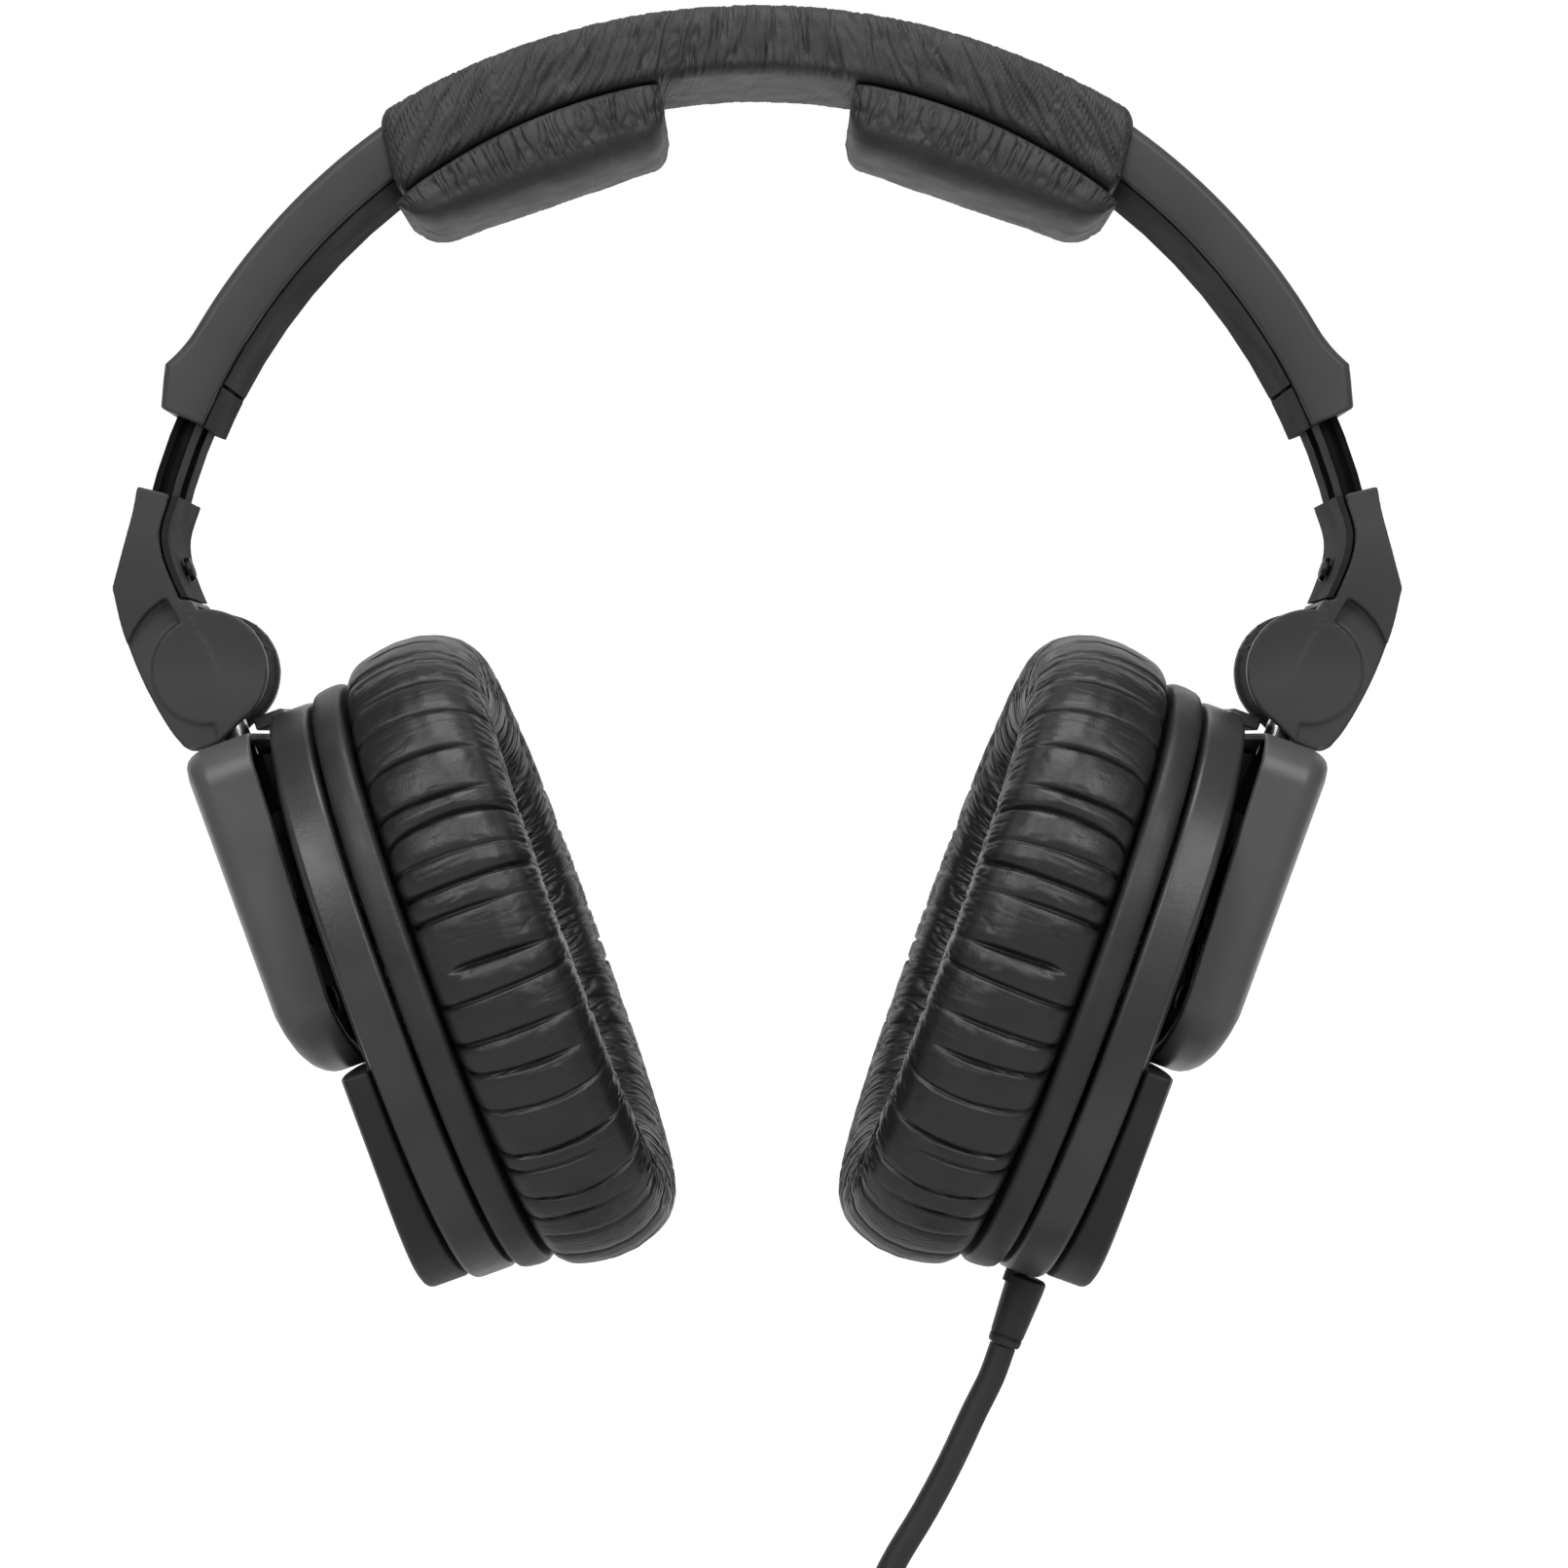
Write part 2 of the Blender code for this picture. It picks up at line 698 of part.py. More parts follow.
def cup_housing():
    levels = [(smaller(HOUSING_SIZE, 0.5), 0.3), (HOUSING_SIZE, 0.8), (HOUSING_SIZE, 5.8)]
    levels += [(smaller(HOUSING_SIZE, 0.7), 6.5), ((41.3, 34.6), 6.5), ((41.3, 34.6), 0.3)]
    body = loft("housing_body", [oval(size, x) for size, x in levels], ring_shaped=True)
    tab = box("tab", (4.6, -6.0, 42.9), (9.2, 6.0, 44.9))
    return combined("cup_housing", body, [("UNION", tab)])


def drilled_housing():
    hole = rod("cord_hole", (3.8, 0, -60), (3.8, 0, -38), 1.7 + GAP, 16)
    return combined("cup_housing", cup_housing(), [("DIFFERENCE", hole)])


def pad_flange():
    levels = [(smaller(FLANGE_SIZE, 0.7), -0.4), (FLANGE_SIZE, -1.1), (FLANGE_SIZE, -4.5)]
    levels += [(smaller(FLANGE_SIZE, 0.7), -5.2), ((36.0, 29.3), -5.2), ((36.0, 29.3), -2.2)]
    levels += [((37.6, 30.9), -2.2), ((37.6, 30.9), -0.4)]
    return loft("pad_flange", [oval(size, x) for size, x in levels], ring_shaped=True)


def baffle_plate():
    rings = [oval((35.6, 28.9), -4.9), oval((35.6, 28.9), -1.9), oval((37.2, 30.5), -1.9)]
    rings += [oval((37.2, 30.5), -0.6), circle_ring(19.6, -0.6), circle_ring(19.6, -4.9)]
    return loft("baffle_plate", rings, ring_shaped=True)


def ear_pad():
    """The cushion ring: flat where it meets the flange and in a narrow band on its front."""
    section = [(15.5, -5.5), (4.5, -5.5), (1.2, -9.0), (0.0, -15.0), (1.0, -20.5), (3.8, -24.0)]
    section += [(7.0, -25.4), (11.5, -25.4), (15.2, -24.2)]
    section += [(17.9, -20.0), (18.7, -14.0), (17.6, -8.5)]
    rings = [oval(smaller(PAD_SIZE, inset), x, 28) for inset, x in section]
    return loft("ear_pad", rings, ring_shaped=True)


def driver_frame():
    profile = [(-4.3, DRIVER_RADIUS), (0.4, DRIVER_RADIUS), (2.2, 15.0), (2.2, 13.6)]
    profile += [(0.0, 13.6), (-0.6, 17.6), (-4.3, 17.6)]
    return ring_solid("driver_frame", profile, (1, 0, 0), steps=20)


def driver_magnet():
    profile = [(-0.3, 13.2), (3.4, 13.2), (3.9, 12.6)]
    return loft("driver_magnet", turned(profile, (1, 0, 0), steps=20))


def driver_diaphragm():
    """A thin dome with a rolled surround."""
    front = [(-3.9, 4.0), (-3.0, 9.0), (-3.6, 13.5), (-3.0, 17.2)]
    back = [(along + 0.4, radius) for along, radius in reversed(front)]
    return loft("driver_diaphragm", turned(front + back, (1, 0, 0), steps=18))


def driver_grille():
    """A cover disc with a ring of sound slots round a plain centre."""
    profile = [(-5.1, DRIVER_RADIUS), (-4.6, DRIVER_RADIUS)]
    disc = loft("grille_disc", turned(profile, (1, 0, 0), steps=20))
    slots = []
    slot_circle, slot_radius = 12.0, 2.6
    for i in range(GRILLE_SLOTS):
        angle = math.tau * i / GRILLE_SLOTS
        y, z = slot_circle * math.sin(angle), slot_circle * math.cos(angle)
        slots.append(("DIFFERENCE", rod("slot", (-8, y, z), (-2, y, z), slot_radius, 6)))
    return combined("driver_grille", disc, slots)


def damping_foam():
    return loft("damping_foam", [oval((29.2, 22.5), -7.4), oval((29.2, 22.5), -5.6)])


# ---------------------------------------------------------------- sides


def cup_local(x, z):
    """Where a cup frame point is in the swivel frame."""
    return (x - SWIVEL_X, 0.0, z - HINGE_HEIGHT)


def side_meshes():
    extension = {"slider_bar": (slider_bar(), "moulded_black")}
    barrel = {"fold_barrel": (fold_barrel(), "moulded_black")}
    arm = {
        "arm_shell": (arm_shell(), "moulded_black"),
        "arm_inner_cover": (arm_inner_cover(), "housing_grey"),
        "hinge_pin": (rod("hinge_pin", (0, -8.6, 0), (0, 8.6, 0), HINGE_PIN_RADIUS), "steel"),
        "arm_screw": (pan_screw("arm_screw", ARM_SCREW_AT, ARM_SCREW_AXIS, 5.0), "steel"),
    }
    yoke = {
        "swivel_pin": (swivel_rod("swivel_pin", 33.0, 50.1), "steel"),
        "yoke_shell": (yoke_shell(), "yoke_grey"),
        "yoke_inner_plate": (yoke_inner_plate(), "moulded_black"),
        "tilt_axle": (tilt_axle(), "steel"),
        "yoke_screw": (pan_screw("yoke_screw", (13.3, 0, 2.0), (1, 0, 0), 4.4), "steel"),
    }
    cup = {
        "back_cover": (back_cover(), "moulded_black"),
        "pad_flange": (pad_flange(), "moulded_black"),
        "baffle_plate": (baffle_plate(), "moulded_black"),
        "driver_frame": (driver_frame(), "moulded_black"),
        "driver_magnet": (driver_magnet(), "steel"),
        "driver_diaphragm": (driver_diaphragm(), "diaphragm_film"),
        "driver_grille": (driver_grille(), "moulded_black"),
        "damping_foam": (damping_foam(), "foam"),
        "ear_pad": (ear_pad(), "leatherette"),
    }
    root = {
        "end_clip": (end_clip(), "moulded_black"),
        "detent_spring": (detent_spring(), "spring_steel"),
    }
    return root, extension, arm, barrel, yoke, cup


def build_side(side, sign, meshes, housing):
    """All pieces of one side, each under the empty that stands on its own joint."""
    root, extension, arm, barrel, yoke, cup = meshes
    mirror = empty(side + "_side", (0, 0, 0))
    mirror.scale.x = sign
    slide = empty(side + "_extension_axis", (0, 0, -ARC_DEPTH), mirror)
    hinge_at = (HINGE[0], 0.0, HINGE[2] + ARC_DEPTH)
    fold = empty(side + "_fold_axis", hinge_at, slide)
    swivel = empty(side + "_swivel_axis", (0, 0, 0), fold, (0.0, CUP_TILT, CUP_YAW))
    tilt = empty(side + "_tilt_axis", cup_local(*TILT_AXLE), swivel)
    for name, (mesh, finish) in root.items():
        place(f"{side}_{name}", mesh, finish, mirror, (0, 0, -ARC_DEPTH))
    for name, (mesh, finish) in extension.items():
        place(f"{side}_{name}", mesh, finish, slide)
    for name, (mesh, finish) in arm.items():
        place(f"{side}_{name}", mesh, finish, slide, hinge_at)
    for name, (mesh, finish) in barrel.items():
        place(f"{side}_{name}", mesh, finish, fold)
    for name, (mesh, finish) in yoke.items():
        place(f"{side}_{name}", mesh, finish, swivel, cup_local(0.0, 0.0))
    cup_at = (-TILT_AXLE[0], 0.0, -TILT_AXLE[1])
    for name, (mesh, finish) in cup.items():
        place(f"{side}_{name}", mesh, finish, tilt, cup_at)
    place(side + "_cup_housing", housing, "housing_grey", tilt, cup_at)
    return tilt, cup_at


# ---------------------------------------------------------------- lead


def strain_relief():
    """A tapered sleeve below the cup, with a neck through the housing wall."""
    profile = [(-RELIEF_TIP, 2.35), (53.0, 2.6), (47.5, 2.95), (44.9, 2.95)]
    body = loft("relief_body", turned(profile, (0, 0, -1), (RELIEF_X, 0.0, 0.0), 20))
    neck = rod("relief_neck", (3.8, 0, -46.5), (3.8, 0, -41.4), 1.7, 16)
    return combined("cord_strain_relief", body, [("UNION", neck)])


def relief_tip():
    """The cord's exit in the main frame."""
    local = Vector((RELIEF_X - SWIVEL_X, 0.0, RELIEF_TIP - HINGE_HEIGHT))
    return Vector(HINGE) + swivel_frame() @ local


def lead_route():
    """Route points of the free cord: along the sleeve, down in an easy curve, then plumb."""
    down = swivel_frame() @ Vector((0, 0, -1))
    start = relief_tip() + down * GAP
    return [
        start,
        start + down * 5.0,
        Vector((32.3, -0.2, -197.0)),
        Vector((28.9, -0.1, -204.3)),
        Vector((25.1, 0.0, -211.5)),
        Vector((19.9, 0.0, -220.3)),
        Vector((16.2, 0.0, -229.0)),
        Vector((14.1, 0.0, -238.5)),
        Vector((COIL_X, 0.0, -247.0)),
        Vector((COIL_X, 0.0, LEAD_END_Z)),
    ]


def smooth_curve(points, steps):
    """Points on a centripetal Catmull-Rom curve through the route."""
    ends = [points[0] * 2 - points[1], *points, points[-1] * 2 - points[-2]]
    found = []
    for p0, p1, p2, p3 in zip(ends, ends[1:], ends[2:], ends[3:]):
        knots = [0.0]
        for a, b in ((p0, p1), (p1, p2), (p2, p3)):
            knots.append(knots[-1] + math.sqrt((b - a).length))
        k0, k1, k2, k3 = knots
        for i in range(steps):
            t = k1 + (k2 - k1) * i / steps
            a1 = p0 * ((k1 - t) / (k1 - k0)) + p1 * ((t - k0) / (k1 - k0))
            a2 = p1 * ((k2 - t) / (k2 - k1)) + p2 * ((t - k1) / (k2 - k1))
            a3 = p2 * ((k3 - t) / (k3 - k2)) + p3 * ((t - k2) / (k3 - k2))
            b1 = a1 * ((k2 - t) / (k2 - k0)) + a2 * ((t - k0) / (k2 - k0))
            b2 = a2 * ((k3 - t) / (k3 - k1)) + a3 * ((t - k1) / (k3 - k1))
            found.append(b1 * ((k2 - t) / (k2 - k1)) + b2 * ((t - k1) / (k2 - k1)))
    found.append(points[-1])
    return found


def lead_tube():
    curve = bpy.data.curves.new("cord_lead", "CURVE")
    curve.dimensions = "3D"
    curve.bevel_depth = CORD_RADIUS * MM
    curve.bevel_resolution = 2
    curve.use_fill_caps = True
    points = smooth_curve(lead_route(), 2)
    spline = curve.splines.new("POLY")
    spline.points.add(len(points) - 1)
    for slot, point in zip(spline.points, points):
        slot.co = (*(point * MM), 1.0)
    curve.materials.append(finish_material("rubber"))
    made = bpy.data.objects.new("cord_lead", curve)
    bpy.context.collection.objects.link(made)


def coil_centre():
    return (COIL_X, 0.0, LEAD_END_Z - GAP - COIL_RADIUS - COIL_SECTION[0])


def coil_profile(grow):
    """(along, radius) corners of the coil's rounded section, grown by a clearance."""
    radial = COIL_SECTION[0] + grow
    axial = COIL_SECTION[1] + grow
    corner = 3.0
    corners = [
        (-axial, radial - corner),
        (-axial + corner, radial),
        (axial - corner, radial),
        (axial, radial - corner),
        (axial, corner - radial),
        (axial - corner, -radial),
        (-axial + corner, -radial),
        (-axial, corner - radial),
    ]
    return [(along, COIL_RADIUS + radius) for along, radius in corners]


def cord_tie():
    """A strap round the coil at its -X side."""
    cx, _, cz = coil_centre()
    strap = box("strap", (-12.4, -10.3, -5.0), (12.4, 10.3, 5.0))
    for vertex in strap.vertices:
        vertex.co += Vector((cx - COIL_RADIUS, 0.0, cz)) * MM
    room = ring_solid("tie_room", coil_profile(0.35), (0, 1, 0), coil_centre(), 72)
    return combined("cord_tie", strap, [("DIFFERENCE", room)])


def jack_plug():
    """A 6.3 mm stereo jack plug hanging from the coil."""
    cx, _, cz = coil_centre()
    across = 18.0
    outer = COIL_RADIUS + COIL_SECTION[0]
    top = cz - math.sqrt(outer**2 - (across - 5.6) ** 2) - 1.0
    shank = 3.175
    profile = [(0.0, 2.6), (5.0, 3.6), (7.0, 5.6), (22.0, 5.6), (24.0, 4.6), (24.0, shank)]
    profile += [(46.0, shank), (48.5, 2.3), (50.0, 3.0), (52.5, 1.2)]
    return loft("jack_plug", turned(profile, (0, 0, -1), (cx + across, 0.0, top), 20))


def build_lead(tilt, cup_at):
    place("cord_strain_relief", strain_relief(), "rubber", tilt, cup_at)
    lead_tube()
    coil = ring_solid("cord_coil", coil_profile(0.0), (0, 1, 0), coil_centre(), 28)
    place("cord_coil", coil, "rubber")
    place("cord_tie", cord_tie(), "rubber")
    place("jack_plug", jack_plug(), "gold")


clear_scene()
build_headband()
MESHES = side_meshes()
LEFT_TILT, CUP_AT = build_side("left", 1.0, MESHES, drilled_housing())
build_side("right", -1.0, MESHES, cup_housing())
build_lead(LEFT_TILT, CUP_AT)
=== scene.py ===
"""The looks of the over ear headphones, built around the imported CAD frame.

Lengths below are in millimetres, as in the part's source, unless a name says otherwise. Each piece
is made in its own local frame, turned into the main frame, and mirrored for the right side.
"""

import math

import bmesh
import bpy
import numpy as np
from mathutils import Matrix, Vector


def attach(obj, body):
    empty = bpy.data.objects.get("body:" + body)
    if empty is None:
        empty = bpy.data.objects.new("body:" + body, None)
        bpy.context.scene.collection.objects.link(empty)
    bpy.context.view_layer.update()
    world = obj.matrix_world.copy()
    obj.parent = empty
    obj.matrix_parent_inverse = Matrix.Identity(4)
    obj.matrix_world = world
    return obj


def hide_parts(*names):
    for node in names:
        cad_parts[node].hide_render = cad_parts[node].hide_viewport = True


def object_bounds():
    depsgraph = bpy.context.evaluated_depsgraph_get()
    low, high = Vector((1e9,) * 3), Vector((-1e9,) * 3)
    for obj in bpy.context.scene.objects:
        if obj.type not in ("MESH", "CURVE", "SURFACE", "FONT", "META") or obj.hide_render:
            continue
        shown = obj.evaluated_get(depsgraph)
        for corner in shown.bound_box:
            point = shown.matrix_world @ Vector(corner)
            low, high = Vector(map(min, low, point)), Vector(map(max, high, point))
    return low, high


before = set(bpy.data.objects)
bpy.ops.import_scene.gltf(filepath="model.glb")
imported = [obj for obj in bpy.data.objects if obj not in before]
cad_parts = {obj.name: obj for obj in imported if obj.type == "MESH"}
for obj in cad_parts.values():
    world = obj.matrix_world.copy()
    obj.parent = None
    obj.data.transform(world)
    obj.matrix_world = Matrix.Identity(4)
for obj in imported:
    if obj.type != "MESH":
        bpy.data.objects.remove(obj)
CAD_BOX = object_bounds()

MM = 0.001
GAP = 0.3  # what touching pieces leave free
ARC_DEPTH = 84.9  # the headband's centre lies this far below the crown
HINGE = Vector((80.9, 0.0, -86.8))  # on the left arm's fold axis
CUP_TILT, CUP_YAW = 20.0, 1.5  # degrees, of the left cup
SWIVEL_X, HINGE_HEIGHT = 12.94, 53.67  # the swivel axis and the fold axis in the cup's frame
CUP_POWER = 2.35  # of the superellipses that the cup's outlines follow
PAD_SIZE = (48.7, 42.0)  # half height and half depth, also in the two sizes below
FLANGE_SIZE = (45.3, 38.7)
HOUSING_SIZE = (44.4, 37.7)

ARC_FRAME = Matrix.Translation((0.0, 0.0, -ARC_DEPTH))
HINGE_FRAME = Matrix.Translation(HINGE)
CUP_TURN = Matrix.Rotation(math.radians(CUP_TILT), 4, "Y") @ Matrix.Rotation(
    math.radians(CUP_YAW), 4, "Z"
)
CUP_FRAME = HINGE_FRAME @ CUP_TURN @ Matrix.Translation((-SWIVEL_X, 0.0, -HINGE_HEIGHT))
MAIN_FRAME = Matrix.Identity(4)
SIDES = (("left", 1.0), ("right", -1.0))


# ---------------------------------------------------------------- camera and stage


def add_camera():
    """A level view from the front, far enough for the object's own perspective."""
    distance, width, height, shift = 0.65, 0.2336, -0.1035, 0.01707
    camera = bpy.data.cameras.new("camera")
    made = bpy.data.objects.new("camera", camera)
    bpy.context.collection.objects.link(made)
    made.location = (0.0, -distance, height)
    made.rotation_euler = (math.radians(90.0), 0.0, 0.0)
    camera.sensor_width = 36.0
    camera.lens = 36.0 * distance / width
    camera.shift_x = shift
    camera.clip_start = 0.01
    bpy.context.scene.camera = made


def area_light(name, location, target, size, power, size_y=None):
    light = bpy.data.lights.new(name, "AREA")
    light.energy = power
    light.shape = "RECTANGLE"
    light.size = size
    light.size_y = size_y or size
    made = bpy.data.objects.new(name, light)
    bpy.context.collection.objects.link(made)
    made.location = location
    made.rotation_euler = (Vector(target) - Vector(location)).to_track_quat("-Z", "Y").to_euler()


def add_lights():
    middle = (0.0, 0.0, -0.11)
    area_light("key_left", (-0.5, -0.85, 0.45), middle, 0.35, 4.2, 0.6)
    area_light("key_right", (0.5, -0.85, 0.45), middle, 0.35, 4.2, 0.6)
    area_light("top", (0.0, -0.25, 0.75), middle, 0.5, 4.2)
    area_light("front", (0.0, -1.3, 0.65), middle, 0.5, 2.0)
    world = bpy.data.worlds.new("studio")
    bpy.context.scene.world = world
    world.use_nodes = True
    background = world.node_tree.nodes["Background"]
    background.inputs["Color"].default_value = (1.0, 1.0, 1.0, 1.0)
    background.inputs["Strength"].default_value = 0.14


def add_floor():
    """A pale floor that curves up into a wall behind; these lengths are in metres."""
    foot = CAD_BOX[0][2] - 0.004
    front, bend, radius, height, half_width, steps = -3.0, 1.2, 1.2, 4.0, 4.0, 16
    profile = [(front, foot), (bend, foot)]
    for i in range(1, steps + 1):
        angle = math.pi / 2 * i / steps
        profile.append((bend + radius * math.sin(angle), foot + radius * (1 - math.cos(angle))))
    profile.append((bend + radius, foot + height))
    points = [[(x, y, z) for y, z in profile] for x in (-half_width, half_width)]
    floor = grid_object("floor", np.array(points), False, False, 1.0)
    floor.data.materials.append(stage_material())


def stage_material():
    """Pale, and glowing with its own tone as painted light: dim under the object, brighter towards
    the wall behind.
    """
    made, tree, shader = new_material("studio_floor", 0.9)
    coordinates = add_node(tree, "TexCoord")
    split = add_node(tree, "SeparateXYZ")
    ranged = add_node(tree, "MapRange", From_Min=0.2, From_Max=0.9)
    ramp = tone_ramp(tree, 0.0, 1.0, grey(0.36), grey(0.9))
    tree.links.new(coordinates.outputs["Object"], split.inputs["Vector"])
    tree.links.new(split.outputs["Y"], ranged.inputs["Value"])
    tree.links.new(ranged.outputs["Result"], ramp.inputs["Fac"])
    tree.links.new(ramp.outputs["Color"], shader.inputs["Base Color"])
    # painted light: the same graded tone drives the floor's glow
    tree.links.new(ramp.outputs["Color"], shader.inputs["Emission Color"])
    shader.inputs["Emission Strength"].default_value = 0.75
    return made


# ---------------------------------------------------------------- materials

EVEN = (1.0, 1.0, 1.0)


def new_material(name, roughness, metallic=0.0):
    made = bpy.data.materials.new(name)
    made.use_nodes = True
    tree = made.node_tree
    shader = tree.nodes["Principled BSDF"]
    shader.inputs["Roughness"].default_value = roughness
    shader.inputs["Metallic"].default_value = metallic
    return made, tree, shader


def add_node(tree, kind, **inputs):
    """A shader node with inputs set by name, an underscore standing for a space."""
    node = tree.nodes.new("ShaderNode" + kind)
    for name, value in inputs.items():
        node.inputs[name.replace("_", " ")].default_value = value
    return node


def tone_ramp(tree, low, high, dark, light):
    """A ramp from a dark tone at low to a light one at high."""
    ramp = add_node(tree, "ValToRGB")
    for stop, position, tone in zip(ramp.color_ramp.elements, (low, high), (dark, light)):
        stop.position = position
        stop.color = (*tone, 1.0)
    return ramp


def place_texture(tree, kind, scale, stretch=EVEN, detail=3.0):
    """A noise or Voronoi texture in the piece's own coordinates."""
    coordinates = add_node(tree, "TexCoord")
    mapping = add_node(tree, "Mapping", Scale=stretch)
    if kind == "noise":
        texture = add_node(tree, "TexNoise", Scale=scale, Detail=detail)
    else:
        texture = add_node(tree, "TexVoronoi", Scale=scale)
    tree.links.new(coordinates.outputs["Object"], mapping.inputs["Vector"])
    tree.links.new(mapping.outputs["Vector"], texture.inputs["Vector"])
    return texture.outputs["Fac" if kind == "noise" else "Distance"]


def colour_range(tree, shader, dark, light, scale, stretch=EVEN):
    """The base colour wanders between two tones."""
    ramp = tone_ramp(tree, 0.3, 0.7, dark, light)
    tree.links.new(place_texture(tree, "noise", scale, stretch), ramp.inputs["Fac"])
    tree.links.new(ramp.outputs["Color"], shader.inputs["Base Color"])


def roughness_range(tree, shader, low, high, scale):
    """The roughness wanders between two values."""
    ranged = add_node(tree, "MapRange", From_Min=0.3, From_Max=0.7, To_Min=low, To_Max=high)
    tree.links.new(place_texture(tree, "noise", scale, detail=4.0), ranged.inputs["Value"])
    tree.links.new(ranged.outputs["Result"], shader.inputs["Roughness"])


def bumps(tree, shader, layers):
    """Bump layers of (kind, scale, depth in millimetres, strength, stretch)."""
    last = None
    for kind, scale, depth, strength, stretch in layers:
        bump = add_node(tree, "Bump", Distance=depth * MM, Strength=strength)
        tree.links.new(place_texture(tree, kind, scale, stretch), bump.inputs["Height"])
        if last:
            tree.links.new(last.outputs["Normal"], bump.inputs["Normal"])
        last = bump
    tree.links.new(last.outputs["Normal"], shader.inputs["Normal"])


def grey(value, tint=0.0):
    """A grey tone, a little bluer with a tint."""
    return (value * (1 - tint), value, value * (1 + 2 * tint))


def moulded(name, dark, light, low, high, grain, depth, specular=0.5):
    """Moulded plastic: an even tone, a fine spark eroded grain and a little handling gloss."""
    made, tree, shader = new_material(name, low)
    colour_range(tree, shader, grey(dark, 0.01), grey(light, 0.01), 45.0)
    roughness_range(tree, shader, low, high, 120.0)
    bumps(tree, shader, [("noise", grain, depth, 0.6, EVEN), ("noise", 60.0, 0.05, 0.12, EVEN)])
    shader.inputs["Specular IOR Level"].default_value = specular
    return made


def leather(name, dark, light, low, high, cell, depth, coat, specular):
    """Soft leatherette: pebbled grain, fine creases and a patchy sheen."""
    made, tree, shader = new_material(name, low)
    colour_range(tree, shader, grey(dark), grey(light, 0.01), 160.0)
    roughness_range(tree, shader, low, high, 220.0)
    pebbles = ("voronoi", cell, depth, 0.55, EVEN)
    between = ("noise", cell * 0.4, depth, 0.3, EVEN)
    bumps(tree, shader, [pebbles, between, ("noise", 420.0, 0.05, 0.15, EVEN)])
    shader.inputs["Coat Weight"].default_value = coat
    shader.inputs["Coat Roughness"].default_value = 0.35
    shader.inputs["Specular IOR Level"].default_value = specular
    return made


def metal(name, dark, light, low, high, stretch):
    """Turned or ground metal, with fine marks along one way."""
    made, tree, shader = new_material(name, low, 1.0)
    colour_range(tree, shader, dark, light, 300.0, stretch)
    roughness_range(tree, shader, low, high, 500.0)
    bumps(tree, shader, [("noise", 2200.0, 0.01, 0.3, stretch)])
    return made


def make_materials():
    """Every finish, by the short name that the pieces use."""
    return {
        "shell": moulded("satin_shell", 0.044, 0.054, 0.42, 0.54, 2600.0, 0.02, 0.35),
        "arm": moulded("satin_arm", 0.042, 0.050, 0.44, 0.56, 2600.0, 0.02, 0.3),
        # painted shade: a darker, duller copy of the satin plastic for the pieces that sit inside
        # in shade
        "inside": moulded("satin_inside", 0.010, 0.014, 0.66, 0.78, 2200.0, 0.02, 0.06),
        "strip": moulded("satin_strip", 0.018, 0.024, 0.62, 0.74, 2200.0, 0.02, 0.08),
        "dark": moulded("moulded_dark", 0.006, 0.009, 0.48, 0.60, 2000.0, 0.02, 0.25),
        "slider": moulded("slider_nylon", 0.006, 0.009, 0.58, 0.68, 900.0, 0.01, 0.05),
        "housing": moulded("eroded_housing", 0.022, 0.040, 0.32, 0.44, 1500.0, 0.05, 0.5),
        "yoke": moulded("satin_yoke", 0.066, 0.080, 0.34, 0.44, 2400.0, 0.025, 0.5),
        "back": moulded("back_plastic", 0.016, 0.022, 0.46, 0.60, 1800.0, 0.03, 0.3),
        "cover": leather("band_leather", 0.034, 0.048, 0.50, 0.62, 2300.0, 0.05, 0.0, 0.3),
        "pad": leather("pad_leather", 0.010, 0.015, 0.38, 0.46, 2600.0, 0.03, 0.06, 0.5),
        "skirt": leather("skirt_leather", 0.018, 0.026, 0.42, 0.54, 2600.0, 0.03, 0.04, 0.4),
        "rubber": moulded("cord_sheath", 0.016, 0.022, 0.45, 0.60, 3000.0, 0.015),
        "steel": metal("ground_steel", (0.5, 0.5, 0.52), (0.65, 0.65, 0.67), 0.2, 0.34, (1, 1, 6)),
        "black_steel": metal(
            "blackened_steel", (0.03, 0.03, 0.03), (0.05, 0.05, 0.052), 0.35, 0.5, (6, 1, 1)
        ),
        "gold": metal("gilt_plug", (0.78, 0.56, 0.22), (0.88, 0.66, 0.30), 0.18, 0.3, (1, 1, 8)),
        "foam": foam_material(),
        "film": moulded("driver_film", 0.30, 0.36, 0.25, 0.35, 900.0, 0.01),
        "strap": strap_material(),
    }


def foam_material():
    """Open cell foam, dull and rough."""
    made, tree, shader = new_material("open_foam", 0.95)
    colour_range(tree, shader, grey(0.006), grey(0.016), 1800.0)
    bumps(tree, shader, [("voronoi", 1300.0, 0.35, 0.9, EVEN), ("noise", 2600.0, 0.2, 0.6, EVEN)])
    return made


def strap_material():
    """Woven hook and loop strap."""
    made, tree, shader = new_material("woven_strap", 0.85)
    colour_range(tree, shader, grey(0.012), grey(0.03), 900.0, (1.0, 3.0, 1.0))
    threads = ("noise", 1500.0, 0.2, 0.8, (1.0, 4.0, 1.0))
    bumps(tree, shader, [threads, ("voronoi", 1100.0, 0.2, 0.6, EVEN)])
    shader.inputs["Sheen Weight"].default_value = 0.3
    return made


# ---------------------------------------------------------------- meshes


def mesh_object(name, points, faces, scale=MM):
    mesh = bpy.data.meshes.new(name)
    mesh.from_pydata([tuple(float(c) * scale for c in p) for p in points], [], faces)
    mesh.update()
    made = bpy.data.objects.new(name, mesh)
    bpy.context.collection.objects.link(made)
    return made


def grid_faces(rows, columns, closed_rows, closed_columns):
    faces = []
    for i in range(rows if closed_rows else rows - 1):
        for j in range(columns if closed_columns else columns - 1):
            ni, nj = (i + 1) % rows, (j + 1) % columns
            faces.append((i * columns + j, ni * columns + j, ni * columns + nj, i * columns + nj))
    return faces


